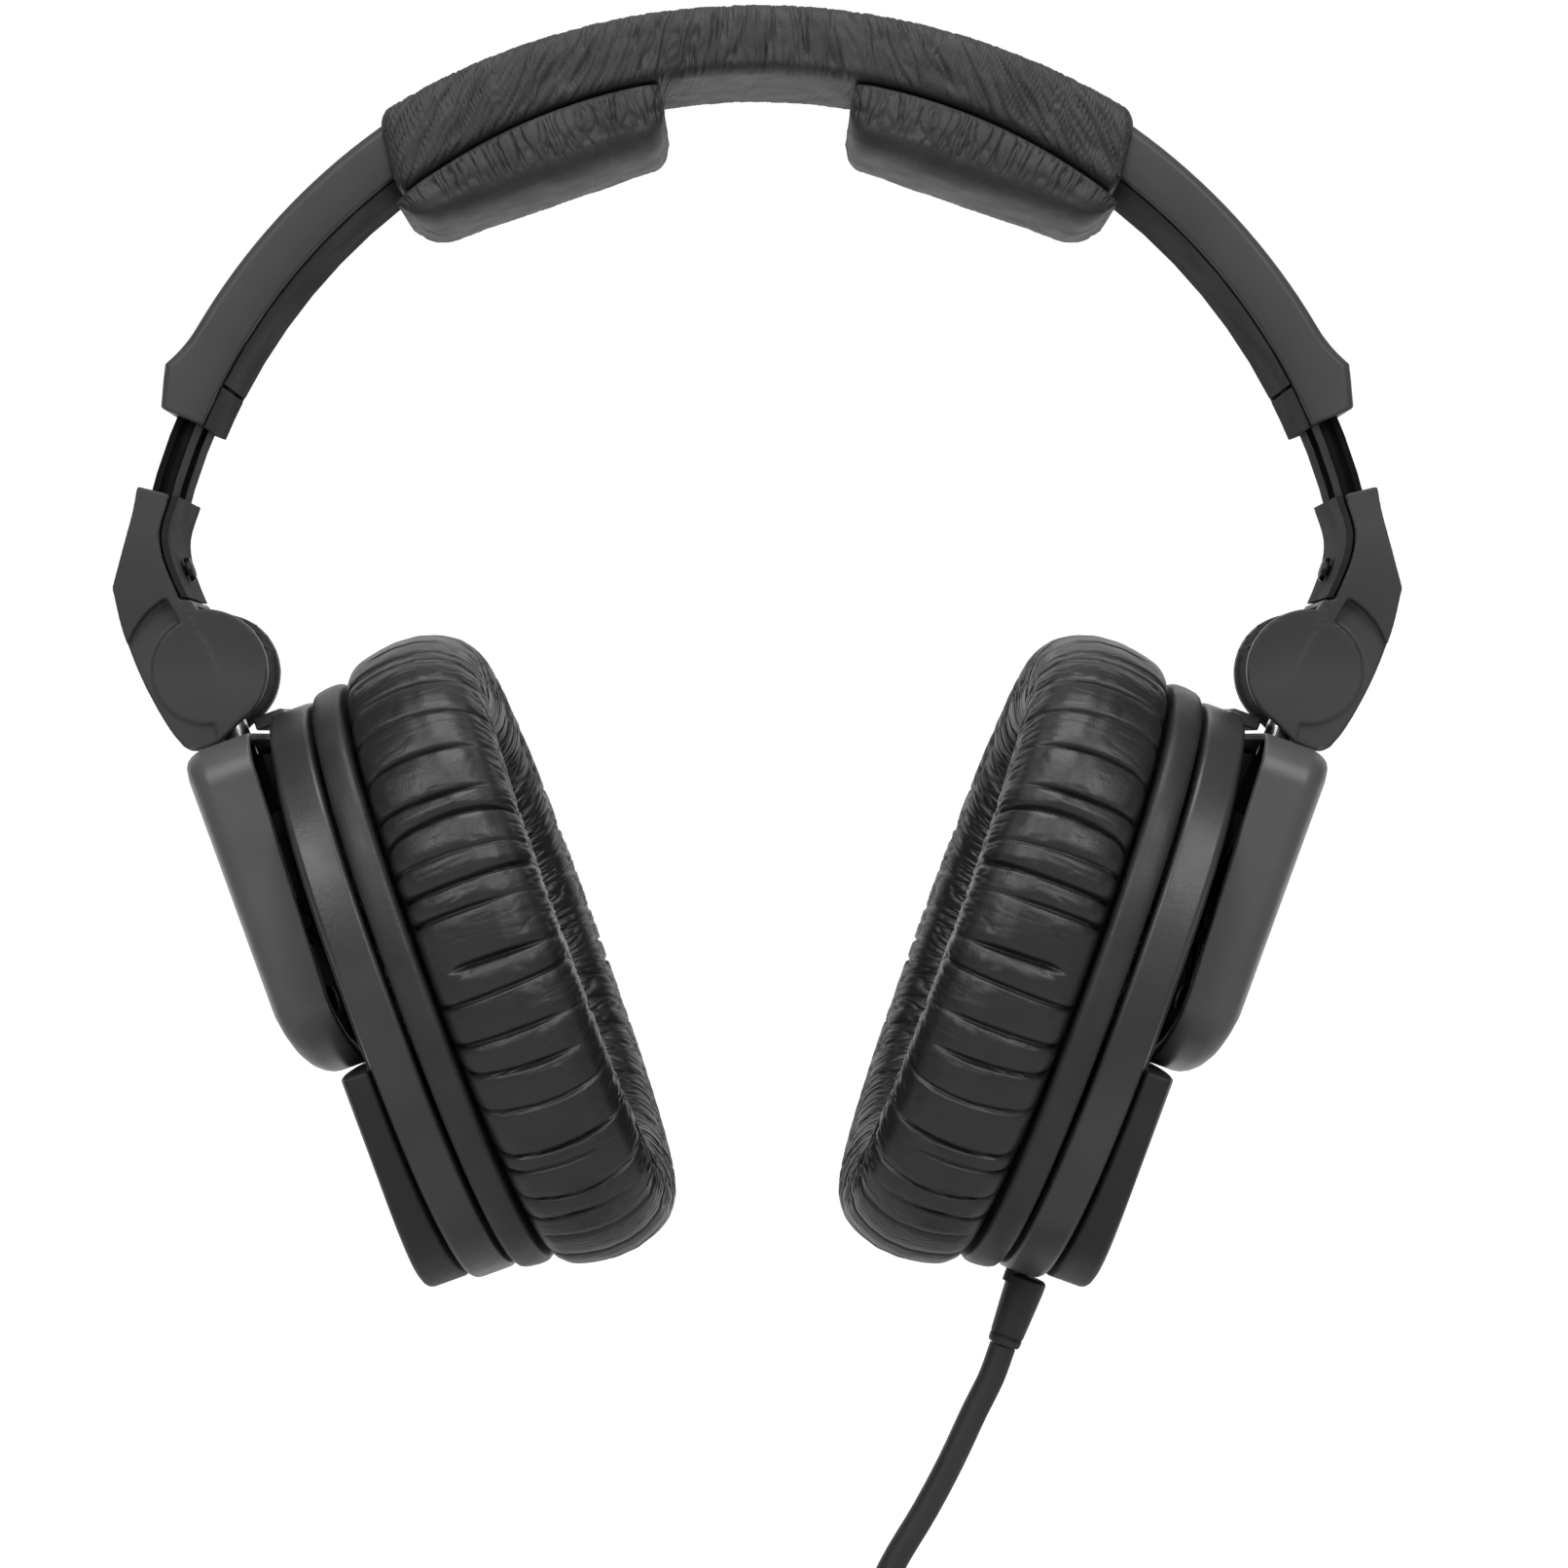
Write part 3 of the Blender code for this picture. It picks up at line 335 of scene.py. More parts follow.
def grid_object(name, points, closed_rows, closed_columns, scale=MM):
    rows, columns = points.shape[:2]
    faces = grid_faces(rows, columns, closed_rows, closed_columns)
    made = mesh_object(name, points.reshape(-1, 3), faces, scale)
    made.data.shade_smooth()
    return made


def recalculated(made):
    bm = bmesh.new()
    bm.from_mesh(made.data)
    bmesh.ops.recalc_face_normals(bm, faces=bm.faces)
    bm.to_mesh(made.data)
    bm.free()
    return made


def loft(name, rings, ring_shaped=False):
    """A solid through rings of points, capped at both ends or closed on itself."""
    count = len(rings[0])
    points = [p for ring in rings for p in ring]
    faces = grid_faces(len(rings), count, ring_shaped, True)
    if not ring_shaped:
        faces.append(tuple(reversed(range(count))))
        faces.append(tuple(range(len(points) - count, len(points))))
    return recalculated(mesh_object(name, points, faces))


def prism(name, outline, half_width):
    """A solid with an outline of (x, z) points, as wide to both sides."""
    return loft(name, [[(x, y, z) for x, z in outline] for y in (-half_width, half_width)])


def box(name, low, high):
    (x0, x1), (y0, y1), levels = zip(low, high)
    return loft(name, [[(x0, y0, z), (x1, y0, z), (x1, y1, z), (x0, y1, z)] for z in levels])


def turned(profile, axis, centre, steps):
    """Rings of a profile of (distance along the axis, radius) points."""
    turn = Vector(axis).to_track_quat("Z", "Y").to_matrix()
    rings = []
    for along, radius in profile:
        ring = []
        for i in range(steps):
            angle = math.tau * i / steps
            local = Vector((radius * math.cos(angle), radius * math.sin(angle), along))
            ring.append(Vector(centre) + turn @ local)
        rings.append(ring)
    return rings


def rod(name, start, end, radius, steps=40):
    axis = Vector(end) - Vector(start)
    return loft(name, turned([(0.0, radius), (axis.length, radius)], axis, start, steps))


def applied(made):
    """The object with its modifiers applied to its mesh."""
    graph = bpy.context.evaluated_depsgraph_get()
    result = bpy.data.meshes.new_from_object(made.evaluated_get(graph))
    made.modifiers.clear()
    old = made.data
    made.data = result
    bpy.data.meshes.remove(old)
    return made


def combined(base, tools):
    """The base with a Boolean for each (operation, tool); the tools are used up."""
    for operation, tool in tools:
        modifier = base.modifiers.new(operation, "BOOLEAN")
        modifier.operation = operation
        modifier.solver = "EXACT"
        modifier.object = tool
    applied(base)
    for _, tool in tools:
        bpy.data.objects.remove(tool, do_unlink=True)
    return base


def cut(base, *tools):
    """The base with the tools taken away from it."""
    return combined(base, [("DIFFERENCE", tool) for tool in tools])


def rounded(made, width, segments=3, angle=30.0):
    """Sharp edges rounded by a bevel, with the flat faces kept flat in their shading."""
    made.data.shade_smooth()
    if width:
        bevel = made.modifiers.new("bevel", "BEVEL")
        bevel.width = width * MM
        bevel.segments = segments
        bevel.limit_method = "ANGLE"
        bevel.angle_limit = math.radians(angle)
        bevel.use_clamp_overlap = False
        bevel.harden_normals = True
    weighted = made.modifiers.new("normals", "WEIGHTED_NORMAL")
    weighted.weight = 60
    weighted.keep_sharp = True
    return applied(made)


def into_place(made, local_frame, sign=1.0, name=None):
    """From its local frame in millimetres to the main frame, mirrored for the right side."""
    made.name = name or made.name
    scale = Matrix.Scale(MM, 4)
    back = Matrix.Scale(1 / MM, 4)
    mirror = Matrix.Diagonal((sign, 1.0, 1.0, 1.0))
    made.data.transform(mirror @ scale @ local_frame @ back)
    if sign < 0:
        made.data.flip_normals()
    return made


def dressed(made, material, body, slot, *nodes):
    """The piece's finish, the body it rides on and the CAD nodes it stands for."""
    made.data.materials.clear()
    made.data.materials.append(FINISH[material])
    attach(made, body)
    if nodes:
        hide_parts(*nodes)
    return made


# ---------------------------------------------------------------- curves and outlines


def span(start, stop, count):
    return [start + (stop - start) * i / (count - 1) for i in range(count)]


def smooth_curve(points, steps):
    """Points on a centripetal Catmull-Rom curve through the route."""
    points = [Vector(p) for p in points]
    ends = [points[0] * 2 - points[1], *points, points[-1] * 2 - points[-2]]
    found = []
    for p0, p1, p2, p3 in zip(ends, ends[1:], ends[2:], ends[3:]):
        knots = [0.0]
        for a, b in ((p0, p1), (p1, p2), (p2, p3)):
            knots.append(knots[-1] + math.sqrt((b - a).length))
        k0, k1, k2, k3 = knots
        for i in range(steps):
            t = k1 + (k2 - k1) * i / steps
            a1 = p0 * ((k1 - t) / (k1 - k0)) + p1 * ((t - k0) / (k1 - k0))
            a2 = p1 * ((k2 - t) / (k2 - k1)) + p2 * ((t - k1) / (k2 - k1))
            a3 = p2 * ((k3 - t) / (k3 - k2)) + p3 * ((t - k2) / (k3 - k2))
            b1 = a1 * ((k2 - t) / (k2 - k0)) + a2 * ((t - k0) / (k2 - k0))
            b2 = a2 * ((k3 - t) / (k3 - k1)) + a3 * ((t - k1) / (k3 - k1))
            found.append(b1 * ((k2 - t) / (k2 - k1)) + b2 * ((t - k1) / (k2 - k1)))
    found.append(points[-1])
    return found


def smooth_flat(points, steps):
    """The same for (x, z) points."""
    return [(p.x, p.z) for p in smooth_curve([(x, 0.0, z) for x, z in points], steps)]


def arc_points(centre, radius, start, stop, count):
    points = []
    for degrees in span(start, stop, count):
        angle = math.radians(degrees)
        points.append((centre[0] + radius * math.cos(angle), centre[1] + radius * math.sin(angle)))
    return points


def oval(size, x, count=144):
    ring = []
    for i in range(count):
        angle = math.tau * (i + 0.5) / count
        c, s = math.cos(angle), math.sin(angle)
        z = size[0] * math.copysign(abs(c) ** (2 / CUP_POWER), c)
        y = size[1] * math.copysign(abs(s) ** (2 / CUP_POWER), s)
        ring.append((x, y, z))
    return ring


def smaller(size, inset):
    return (size[0] - inset, size[1] - inset)


def on_arc(radius, y, degrees):
    angle = math.radians(degrees)
    return (radius * math.sin(angle), y, radius * math.cos(angle))


def arc_sweep(name, section, stations):
    return loft(name, [[on_arc(r, y, phi) for r, y in section(phi)] for phi in stations])


# ---------------------------------------------------------------- soft surfaces


def distances(points):
    """How far along the polyline each of its points lies."""
    return np.concatenate([[0.0], np.cumsum(np.linalg.norm(np.diff(points, axis=0), axis=1))])


def shares(rows, columns):
    """Each point's place on a closed grid, as a share of its rows and of its columns."""
    return np.meshgrid(np.arange(rows) / rows, np.arange(columns) / columns, indexing="ij")


def resampled(line, count, closed=False):
    """Points at equal steps along a polyline, as an array."""
    points = np.array(line, float)
    if closed:
        points = np.vstack([points, points[:1]])
    lengths = distances(points)
    wanted = np.linspace(0.0, lengths[-1], count + 1 if closed else count)
    if closed:
        wanted = wanted[:-1]
    return np.stack([np.interp(wanted, lengths, points[:, k]) for k in range(points.shape[1])], 1)


def lattice_noise(u, v, cells_u, cells_v, seed):
    """Smooth noise from -1 to 1 that repeats after one unit in u and in v."""
    values = np.random.default_rng(seed).uniform(-1.0, 1.0, (cells_u, cells_v))
    x, y = np.mod(u, 1.0) * cells_u, np.mod(v, 1.0) * cells_v
    i, j = np.floor(x).astype(int), np.floor(y).astype(int)
    fx, fy = x - i, y - j
    fx, fy = fx * fx * (3 - 2 * fx), fy * fy * (3 - 2 * fy)
    i0, i1, j0, j1 = i % cells_u, (i + 1) % cells_u, j % cells_v, (j + 1) % cells_v
    low = values[i0, j0] * (1 - fx) + values[i1, j0] * fx
    high = values[i0, j1] * (1 - fx) + values[i1, j1] * fx
    return low * (1 - fy) + high * fy


def creases(u, v, cells_u, cells_v, seed, width=0.25):
    """Sharp valleys along the noise's zero lines: -1 in a valley, 0 away from it."""
    field = lattice_noise(u, v, cells_u, cells_v, seed)
    return -np.clip(1.0 - np.abs(field) / width, 0.0, 1.0) ** 1.4


def ease(value, low, high):
    """0 below low, 1 above high, smooth between; also for low above high."""
    t = np.clip((value - low) / (high - low), 0.0, 1.0)
    return t * t * (3 - 2 * t)


def grid_normals(points, closed_rows=True):
    """Unit normals of a grid whose columns close on themselves."""
    along = np.roll(points, -1, 1) - np.roll(points, 1, 1)
    if closed_rows:
        across = np.roll(points, -1, 0) - np.roll(points, 1, 0)
    else:
        across = np.gradient(points, axis=0)
    normal = np.cross(across, along)
    return normal / np.maximum(np.linalg.norm(normal, axis=2, keepdims=True), 1e-9)


def outward(points, normals):
    """The normals turned to point away from the middle of each closed column ring."""
    middle = points.mean(1, keepdims=True)
    side = np.sign((normals * (points - middle)).sum())
    return normals * (side if side else 1.0)


def refined_along(points, axis, count, closed):
    """The grid resampled finer along one axis, on Catmull-Rom curves."""
    old = points.shape[axis]
    if closed:
        place = np.arange(count) * old / count
        i = np.floor(place).astype(int)
        p = [np.take(points, (i + k) % old, axis) for k in (-1, 0, 1, 2)]
    else:
        place = np.linspace(0, old - 1, count)
        i = np.minimum(np.floor(place).astype(int), old - 2)
        p = [np.take(points, np.clip(i + k, 0, old - 1), axis) for k in (-1, 0, 1, 2)]
    t = (place - i).reshape([-1 if k == axis else 1 for k in range(3)])
    return 0.5 * (
        2 * p[1]
        + (p[2] - p[0]) * t
        + (2 * p[0] - 5 * p[1] + 4 * p[2] - p[3]) * t**2
        + (3 * p[1] - p[0] - 3 * p[2] + p[3]) * t**3
    )


def refined(points, rows, columns, closed_rows=True):
    """The grid resampled finer both ways; its columns close on themselves."""
    return refined_along(refined_along(points, 0, rows, closed_rows), 1, columns, True)


CLOTH_FRAMES = 20


def add_cloth(skin, pressure):
    """Cloth with inner pressure and no weight, held by its vertex group."""
    cloth = skin.modifiers.new("cloth", "CLOTH")
    settings = cloth.settings
    settings.quality = 5
    settings.mass = 0.25
    settings.tension_stiffness = 12.0
    settings.compression_stiffness = 6.0
    settings.shear_stiffness = 4.0
    settings.bending_stiffness = 0.05
    settings.use_pressure = True
    settings.uniform_pressure_force = pressure
    settings.effector_weights.gravity = 0.0
    settings.vertex_group_mass = "sewn"
    settings.pin_stiffness = 1.0
    cloth.point_cache.frame_start = 1
    cloth.point_cache.frame_end = CLOTH_FRAMES


def simulated_points(skin):
    """Where the skin's points are after the simulation's frames, in millimetres."""
    scene = bpy.context.scene
    for number in range(1, CLOTH_FRAMES + 1):
        scene.frame_set(number)
    graph = bpy.context.evaluated_depsgraph_get()
    result = skin.evaluated_get(graph).to_mesh()
    found = np.zeros(len(result.vertices) * 3)
    result.vertices.foreach_get("co", found)
    skin.evaluated_get(graph).to_mesh_clear()
    bpy.data.objects.remove(skin, do_unlink=True)
    scene.frame_set(1)
    return found.reshape(-1, 3) / MM


def inflated(points, held, pressure, cap, closed_rows=True):
    """The closed grid as a cloth skin swollen by pressure; held is 1 where it is sewn down."""
    skin = grid_object("cloth_trial", points, closed_rows, True)
    if not closed_rows:
        bm = bmesh.new()
        bm.from_mesh(skin.data)
        bmesh.ops.holes_fill(bm, edges=[e for e in bm.edges if e.is_boundary])
        bm.to_mesh(skin.data)
        bm.free()
    recalculated(skin)
    group = skin.vertex_groups.new(name="sewn")
    for index, weight in enumerate(held.reshape(-1)):
        if weight > 0.02:
            group.add([index], float(weight), "REPLACE")
    add_cloth(skin, pressure)
    moved = simulated_points(skin)[: held.size].reshape(points.shape)
    shift = moved - points
    length = np.linalg.norm(shift, axis=2, keepdims=True)
    return points + shift * np.minimum(1.0, cap / np.maximum(length, 1e-9))


# ---------------------------------------------------------------- cord

CORD_RADIUS = 2.0
RELIEF_X, RELIEF_TIP = 5.6, -55.5  # the strain relief's axis and tip in the cup's frame
COIL_X, LEAD_END_Z = 13.5, -254.3  # the coil's middle line and the end of the straight lead
COIL_RADIUS, COIL_HALF_SECTION = 24.0, 10.5
COIL_CENTRE = Vector((COIL_X, 0.0, LEAD_END_Z - GAP - COIL_RADIUS - COIL_HALF_SECTION))
ROW_RADII = (15.7, 19.85, COIL_RADIUS, 28.15, 32.3)
COLUMN_PLACES = (-6.2, -2.07, 2.07, 6.2)
FRONT_LAYER = -10.5
CROSSING = 240.0  # degrees round the coil, where each turn leads to the next
ENTRY_RADIUS = 20.3
PLUG_RADIUS = 5.6


def relief_tip():
    return CUP_FRAME @ Vector((RELIEF_X, 0.0, RELIEF_TIP))


def coil_point(degrees, radius, y):
    """A point of the coil; degrees are clockwise from its top, seen from the front."""
    angle = math.radians(degrees)
    return COIL_CENTRE + Vector((radius * math.sin(angle), y, radius * math.cos(angle)))


def coil_slots():
    """(radius, y) of each turn, row by row from the inside, going back and forth."""
    slots = []
    for index, radius in enumerate(ROW_RADII):
        places = COLUMN_PLACES if index % 2 == 0 else COLUMN_PLACES[::-1]
        slots += [(radius, y) for y in places]
    return slots[:-1]


def cord_points():
    """The lead's route, then the coil's turns, then the short end that goes to the plug."""
    down = (CUP_TURN @ Vector((0.0, 0.0, -1.0))).normalized()
    start = relief_tip() + down * GAP
    route = [start, start + down * 5.0]
    route += [Vector(p) for p in ((32.3, -0.2, -197.0), (28.9, -0.1, -204.3), (25.1, 0.0, -211.5))]
    route += [Vector(p) for p in ((19.9, 0.0, -220.3), (16.2, -0.3, -229.0), (14.2, -2.6, -238.0))]
    route += [Vector((13.5, -7.2, -246.5)), Vector((13.6, -10.3, -254.5))]
    for x, z in ((2.4, 28.0), (8.6, 20.6), (15.4, 12.6), (19.6, 3.6)):
        route.append(COIL_CENTRE + Vector((x, FRONT_LAYER, z)))
    for degrees in span(98.0, CROSSING, 10):
        route.append(coil_point(degrees, ENTRY_RADIUS, FRONT_LAYER))
    points = smooth_curve(route, 4)[:-1]
    slots = coil_slots()
    before = (ENTRY_RADIUS, FRONT_LAYER)
    step, tail_start, crossing_end = 10.0, 112.0, CROSSING + 58.0
    for number, slot in enumerate(slots):
        last = number == len(slots) - 1
        stop = 360.0 + (tail_start if last else CROSSING)
        count = int((stop - CROSSING) / step)
        for i in range(count + (1 if last else 0)):
            degrees = CROSSING + (stop - CROSSING) * i / count
            share = float(ease(degrees, CROSSING + 2.0, crossing_end))
            radius = before[0] + (slot[0] - before[0]) * share
            y = before[1] + (slot[1] - before[1]) * share
            points.append(coil_point(degrees, radius, y))
        before = slot
    top = plug_top()
    leaving = Vector((top.x + 6.2, before[1] * 0.75, top.z + 10.6))
    tail = [*points[-2:], leaving, Vector((top.x + 1.6, 0.4, top.z + 3.6)), top]
    return points[:-1] + smooth_curve(tail, 4)[4:]


def plug_top():
    """Where the cord meets the plug, which hangs close below the coil's outside."""
    across = 18.0
    outer = COIL_RADIUS + COIL_HALF_SECTION
    drop = math.sqrt(outer**2 - (across - PLUG_RADIUS) ** 2) + 1.0
    return Vector((COIL_CENTRE.x + across, 0.0, COIL_CENTRE.z - drop))


def cord_curve(points):
    """The cord's round sheath along its points, which are in millimetres."""
    curve = bpy.data.curves.new("lead_cord", "CURVE")
    curve.dimensions = "3D"
    curve.bevel_depth = CORD_RADIUS * MM
    curve.bevel_resolution = 4
    curve.use_fill_caps = True
    spline = curve.splines.new("POLY")
    spline.points.add(len(points) - 1)
    for slot, point in zip(spline.points, points):
        slot.co = (*(point * MM), 1.0)
    made = bpy.data.objects.new("lead_cord", curve)
    bpy.context.collection.objects.link(made)
    return made


def strain_relief():
    """A plain tapered sleeve with a shallow line near its tip and a soft shoulder at the cup."""
    profile = [(55.5, 1.6), (55.6, 2.2), (55.35, 2.42), (54.5, 2.5), (54.35, 2.4), (54.1, 2.4)]
    profile += [(53.95, 2.52), (51.5, 2.68), (49.0, 2.84), (46.4, 2.98), (45.2, 2.98), (44.8, 2.6)]
    profile += [(44.7, 1.7)]
    body = loft("cord_sleeve", turned(profile, (0, 0, -1), (RELIEF_X, 0.0, 0.0), 40))
    neck = rod("relief_neck", (3.8, 0, -46.5), (3.8, 0, -41.4), 1.7, 24)
    return rounded(into_place(combined(body, [("UNION", neck)]), CUP_FRAME), 0.15, 2)


def cord_tie():
    """A woven strap with rounded corners round all of the coil's strands."""
    half_radial, front, back, corner, thick = 12.0, -14.2, 9.9, 3.6, 1.1
    middle = (front + back) / 2
    half = (back - front) / 2
    loop = []
    for cx, cy, start in ((1, 1, 0.0), (-1, 1, 90.0), (-1, -1, 180.0), (1, -1, 270.0)):
        at = (cx * (half_radial - corner), middle + cy * (half - corner))
        loop += arc_points(at, corner, start, start + 90.0, 7)
    rings = []
    for x, y in loop:
        dx, dy = x, y - middle
        length = math.hypot(dx / half_radial, dy / half)
        inner = (x - dx / half_radial / length * thick, y - dy / half / length * thick)
        rings.append([(x, y, -4.6), (x, y, 4.6), (*inner, 5.0), (*inner, -5.0)])
    strap = loft("lead_tie", rings, ring_shaped=True)
    at = Matrix.Translation(COIL_CENTRE + Vector((-COIL_RADIUS, 0.0, 0.0)))
    return rounded(into_place(strap, at), 0.25, 2)


def jack_plug():
    """A 6.3 mm stereo plug: a barrel with a stepped tail, and a contact with two rings."""
    top = plug_top()
    barrel = [(0.0, 2.2), (0.1, 2.6), (1.6, 2.7), (1.9, 2.5), (2.5, 2.5), (2.8, 2.95), (4.3, 3.1)]
    barrel += [(5.0, 3.6), (7.0, 5.4), (7.4, PLUG_RADIUS), (21.6, PLUG_RADIUS), (22.2, 5.3)]
    barrel += [(24.0, 4.6), (24.0, 3.2)]
    tip = [(24.1, 2.4), (24.1, 3.175), (40.0, 3.175), (40.05, 2.95), (41.0, 2.95), (41.05, 3.175)]
    tip += [(44.6, 3.175), (44.65, 2.95), (45.6, 2.95), (45.65, 3.175), (46.2, 3.175), (48.5, 2.3)]
    tip += [(49.4, 2.6), (50.2, 2.95), (51.2, 2.4), (52.2, 1.4), (52.6, 0.5)]
    down = (0, 0, -1)
    handle = into_place(loft("plug_barrel", turned(barrel, down, top, 48)), MAIN_FRAME)
    contact = into_place(loft("plug_contact", turned(tip, down, top, 48)), MAIN_FRAME)
    return rounded(handle, 0.12, 2), rounded(contact, 0.06, 2)


def build_cord():
    cord = cord_curve(cord_points())
    cord.data.materials.append(FINISH["rubber"])
    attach(cord, "left_cup")
    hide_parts("cord_lead", "cord_coil")
    sleeve = dressed(strain_relief(), "rubber", "left_cup", "rubber", "cord_strain_relief")
    tie = dressed(cord_tie(), "strap", "left_cup", "hook_fabric", "cord_tie")
    handle, contact = jack_plug()
    dressed(handle, "dark", "left_cup", "moulded_black", "jack_plug")
    dressed(contact, "gold", "left_cup", "plug_metal")


# ---------------------------------------------------------------- ear pads

PAD_ROWS = 216
PAD_COLUMNS = 40
PAD_FINE = (1296, 150)
PAD_SECTION = [(5.0, -5.5), (3.0, -6.1), (1.5, -7.6), (0.6, -10.4), (0.1, -14.0)]
PAD_SECTION += [(0.4, -18.0), (1.5, -21.3), (3.3, -23.8), (5.6, -25.2), (8.6, -25.6)]
PAD_SECTION += [(11.8, -25.4), (14.6, -24.4), (16.8, -22.0), (18.2, -18.4), (18.7, -14.0)]
PAD_SECTION += [(18.2, -10.0), (17.2, -7.2), (15.5, -5.6), (12.0, -5.5), (8.5, -5.5)]
CREST = 0.47  # the crest's place round the section, as a share of its length


def pad_angles(count):
    """Angles that put points at equal steps round the pad's outline, and its length."""
    fine = 7200
    ring = np.array(oval(PAD_SIZE, 0.0, fine))[:, 1:]
    closed = np.vstack([ring, ring[:1]])
    lengths = distances(closed)
    angles = math.tau * (np.arange(fine + 1) + 0.5) / fine
    return np.interp(np.arange(count) * lengths[-1] / count, lengths, angles), lengths[-1]


def pad_grid(section):
    """The section, given as (inset, x) points, carried round the pad's outline."""
    angles, _ = pad_angles(PAD_ROWS)
    c, s = np.cos(angles)[:, None], np.sin(angles)[:, None]
    power = 2 / CUP_POWER
    z = (PAD_SIZE[0] - section[None, :, 0]) * np.sign(c) * np.abs(c) ** power
    y = (PAD_SIZE[1] - section[None, :, 0]) * np.sign(s) * np.abs(s) ** power
    x = np.broadcast_to(section[None, :, 1], z.shape)
    return np.stack([x, y, z], 2)


def pleat_places(total, low, high, seed):
    """Where pleats cross the outline, in shares of its length, unevenly spaced."""
    rng = np.random.default_rng(seed)
    steps = []
    while sum(steps) < total:
        steps.append(rng.uniform(low, high))
    places = np.cumsum(steps)
    return places / places[-1]


def pleat_field(u, v, length, places, first, last, seed):
    """(groove, pillow) of a row of pleats that cross the skin from v first to about last."""
    rng = np.random.default_rng(seed)
    count = len(places)
    reach = rng.uniform(0.55, 1.0, count)
    begin = np.where(rng.uniform(0, 1, count) < 0.18, rng.uniform(0.15, 0.4, count), 0.0)
    bow = rng.uniform(-1.3, 1.3, count)
    slant = rng.uniform(-0.9, 0.9, count)
    depth = rng.uniform(0.4, 1.0, count)
    share = (v - first) / (last - first)
    groove = np.zeros_like(u)
    near = np.full_like(u, 99.0)
    for k in range(count):
        centre = places[k] * length + bow[k] * 4 * share * (1 - share) + slant[k] * (share - 0.5)
        away = u * length - centre
        away = (away + length / 2) % length - length / 2
        strength = ease(share, begin[k] - 0.08, begin[k] + 0.04)
        strength = strength * ease(share, reach[k] + 0.12, reach[k] - 0.25) * depth[k]
        fold = np.where(away > 0, np.exp(-((away / 0.42) ** 2)), np.exp(-((away / 0.19) ** 2)))
        groove -= strength * fold
        near = np.minimum(near, np.abs(away) + 3.5 * (1 - np.clip(strength, 0, 1)))
    pillow = 1 - np.exp(-((near / 1.9) ** 2))
    window = ease(share, -0.1, 0.1) * ease(share, 1.1, 0.75)
    return groove, pillow * window


def ear_pad_points():
    """The pad's skin: swollen as cloth, then refined, pleated and wrinkled."""
    base = pad_grid(resampled(PAD_SECTION, PAD_COLUMNS, closed=True))
    _, length = pad_angles(8)
    outer_places = pleat_places(length, 3.4, 8.6, 11)
    u, v = shares(PAD_ROWS, PAD_COLUMNS)
    groove, _ = pleat_field(u, v, length, outer_places, 0.0, CREST, 5)
    normals = outward(base, grid_normals(base))
    start = base + normals * (0.5 * groove[..., None] - 0.5)
    held = 0.75 * np.clip(-groove, 0, 1) ** 0.7
    held = np.maximum(held, ease(v, 0.80, 0.84))
    held = np.maximum(held, ease(v, 0.035, 0.0))
    start = np.where(v[..., None] > 0.82, base, start)
    fine = refined(inflated(start, held, 4.0, 1.2), *PAD_FINE)
    u, v = shares(*PAD_FINE)
    normals = outward(fine, grid_normals(fine))
    groove, pillow = pleat_field(u, v, length, outer_places, 0.0, CREST, 5)
    inner_places = pleat_places(length, 4.5, 8.5, 23)
    inner_groove, inner_pillow = pleat_field(u, v, length, inner_places, 0.80, CREST - 0.02, 9)
    shape = 1.3 * groove + 0.32 * pillow + 0.6 * inner_groove + 0.25 * inner_pillow
    shape += pad_wrinkles(u, v)
    flat_back = 1 - ease(v, 0.83, 0.85)
    return fine + normals * (shape * flat_back)[..., None]


def pad_wrinkles(u, v):
    """Puckers gathered over the crest and fine creases beside the pleats."""
    warp = 0.004 * lattice_noise(u, v, 60, 10, 31)
    on_crest = np.exp(-(((v - CREST + 0.03) / 0.075) ** 2))
    on_inner = np.exp(-(((v - CREST - 0.13) / 0.07) ** 2))
    fine = creases(u + warp, v * 2, 210, 5, 41, 0.30)
    finer = creases(u + 1.6 * warp, v * 2 + 0.1 * warp, 380, 8, 43, 0.35)
    long = creases(u + warp, v, 120, 9, 47, 0.16)
    outer = ease(v, 0.02, 0.08) * ease(v, CREST + 0.02, CREST - 0.1)
    ripple = lattice_noise(u, v, 300, 30, 51)
    return (
        (0.50 * fine + 0.34 * finer) * np.maximum(on_crest, 0.7 * on_inner)
        + 0.06 * long * outer
        + 0.05 * finer * outer
        + 0.02 * ripple
    )


def build_ear_pads():
    points = ear_pad_points()
    for side, sign in SIDES:
        pad = grid_object(side + "_pad", points, True, True)
        recalculated(pad)
        into_place(pad, CUP_FRAME, sign)
        dressed(pad, "pad", side + "_cup", "ear_leatherette", side + "_ear_pad")


def damping_foam():
    """A thin pillow of foam inside each ear opening."""
    height, depth, face = 28.6, 21.9, -7.2
    rings = [oval((29.3, 22.6), -5.7, 96), oval((29.3, 22.6), -6.6, 96)]
    for share in (1.0, 0.9, 0.75, 0.55, 0.35, 0.15, 0.04):
        rings.append(oval((height * share, depth * share), face - 0.35 * (1 - share), 96))
    points = np.array(rings)
    u, v = shares(*points.shape[:2])
    points[3:, :, 0] += 0.12 * lattice_noise(u, v, 9, 16, 77)[3:]
    return points


def build_damping_foam():
    points = damping_foam()
    for side, sign in SIDES:
        foam = loft(side + "_foam", points)
        foam.data.shade_smooth()
        into_place(foam, CUP_FRAME, sign)
        dressed(foam, "foam", side + "_cup", "foam", side + "_damping_foam")


# ---------------------------------------------------------------- headband cover

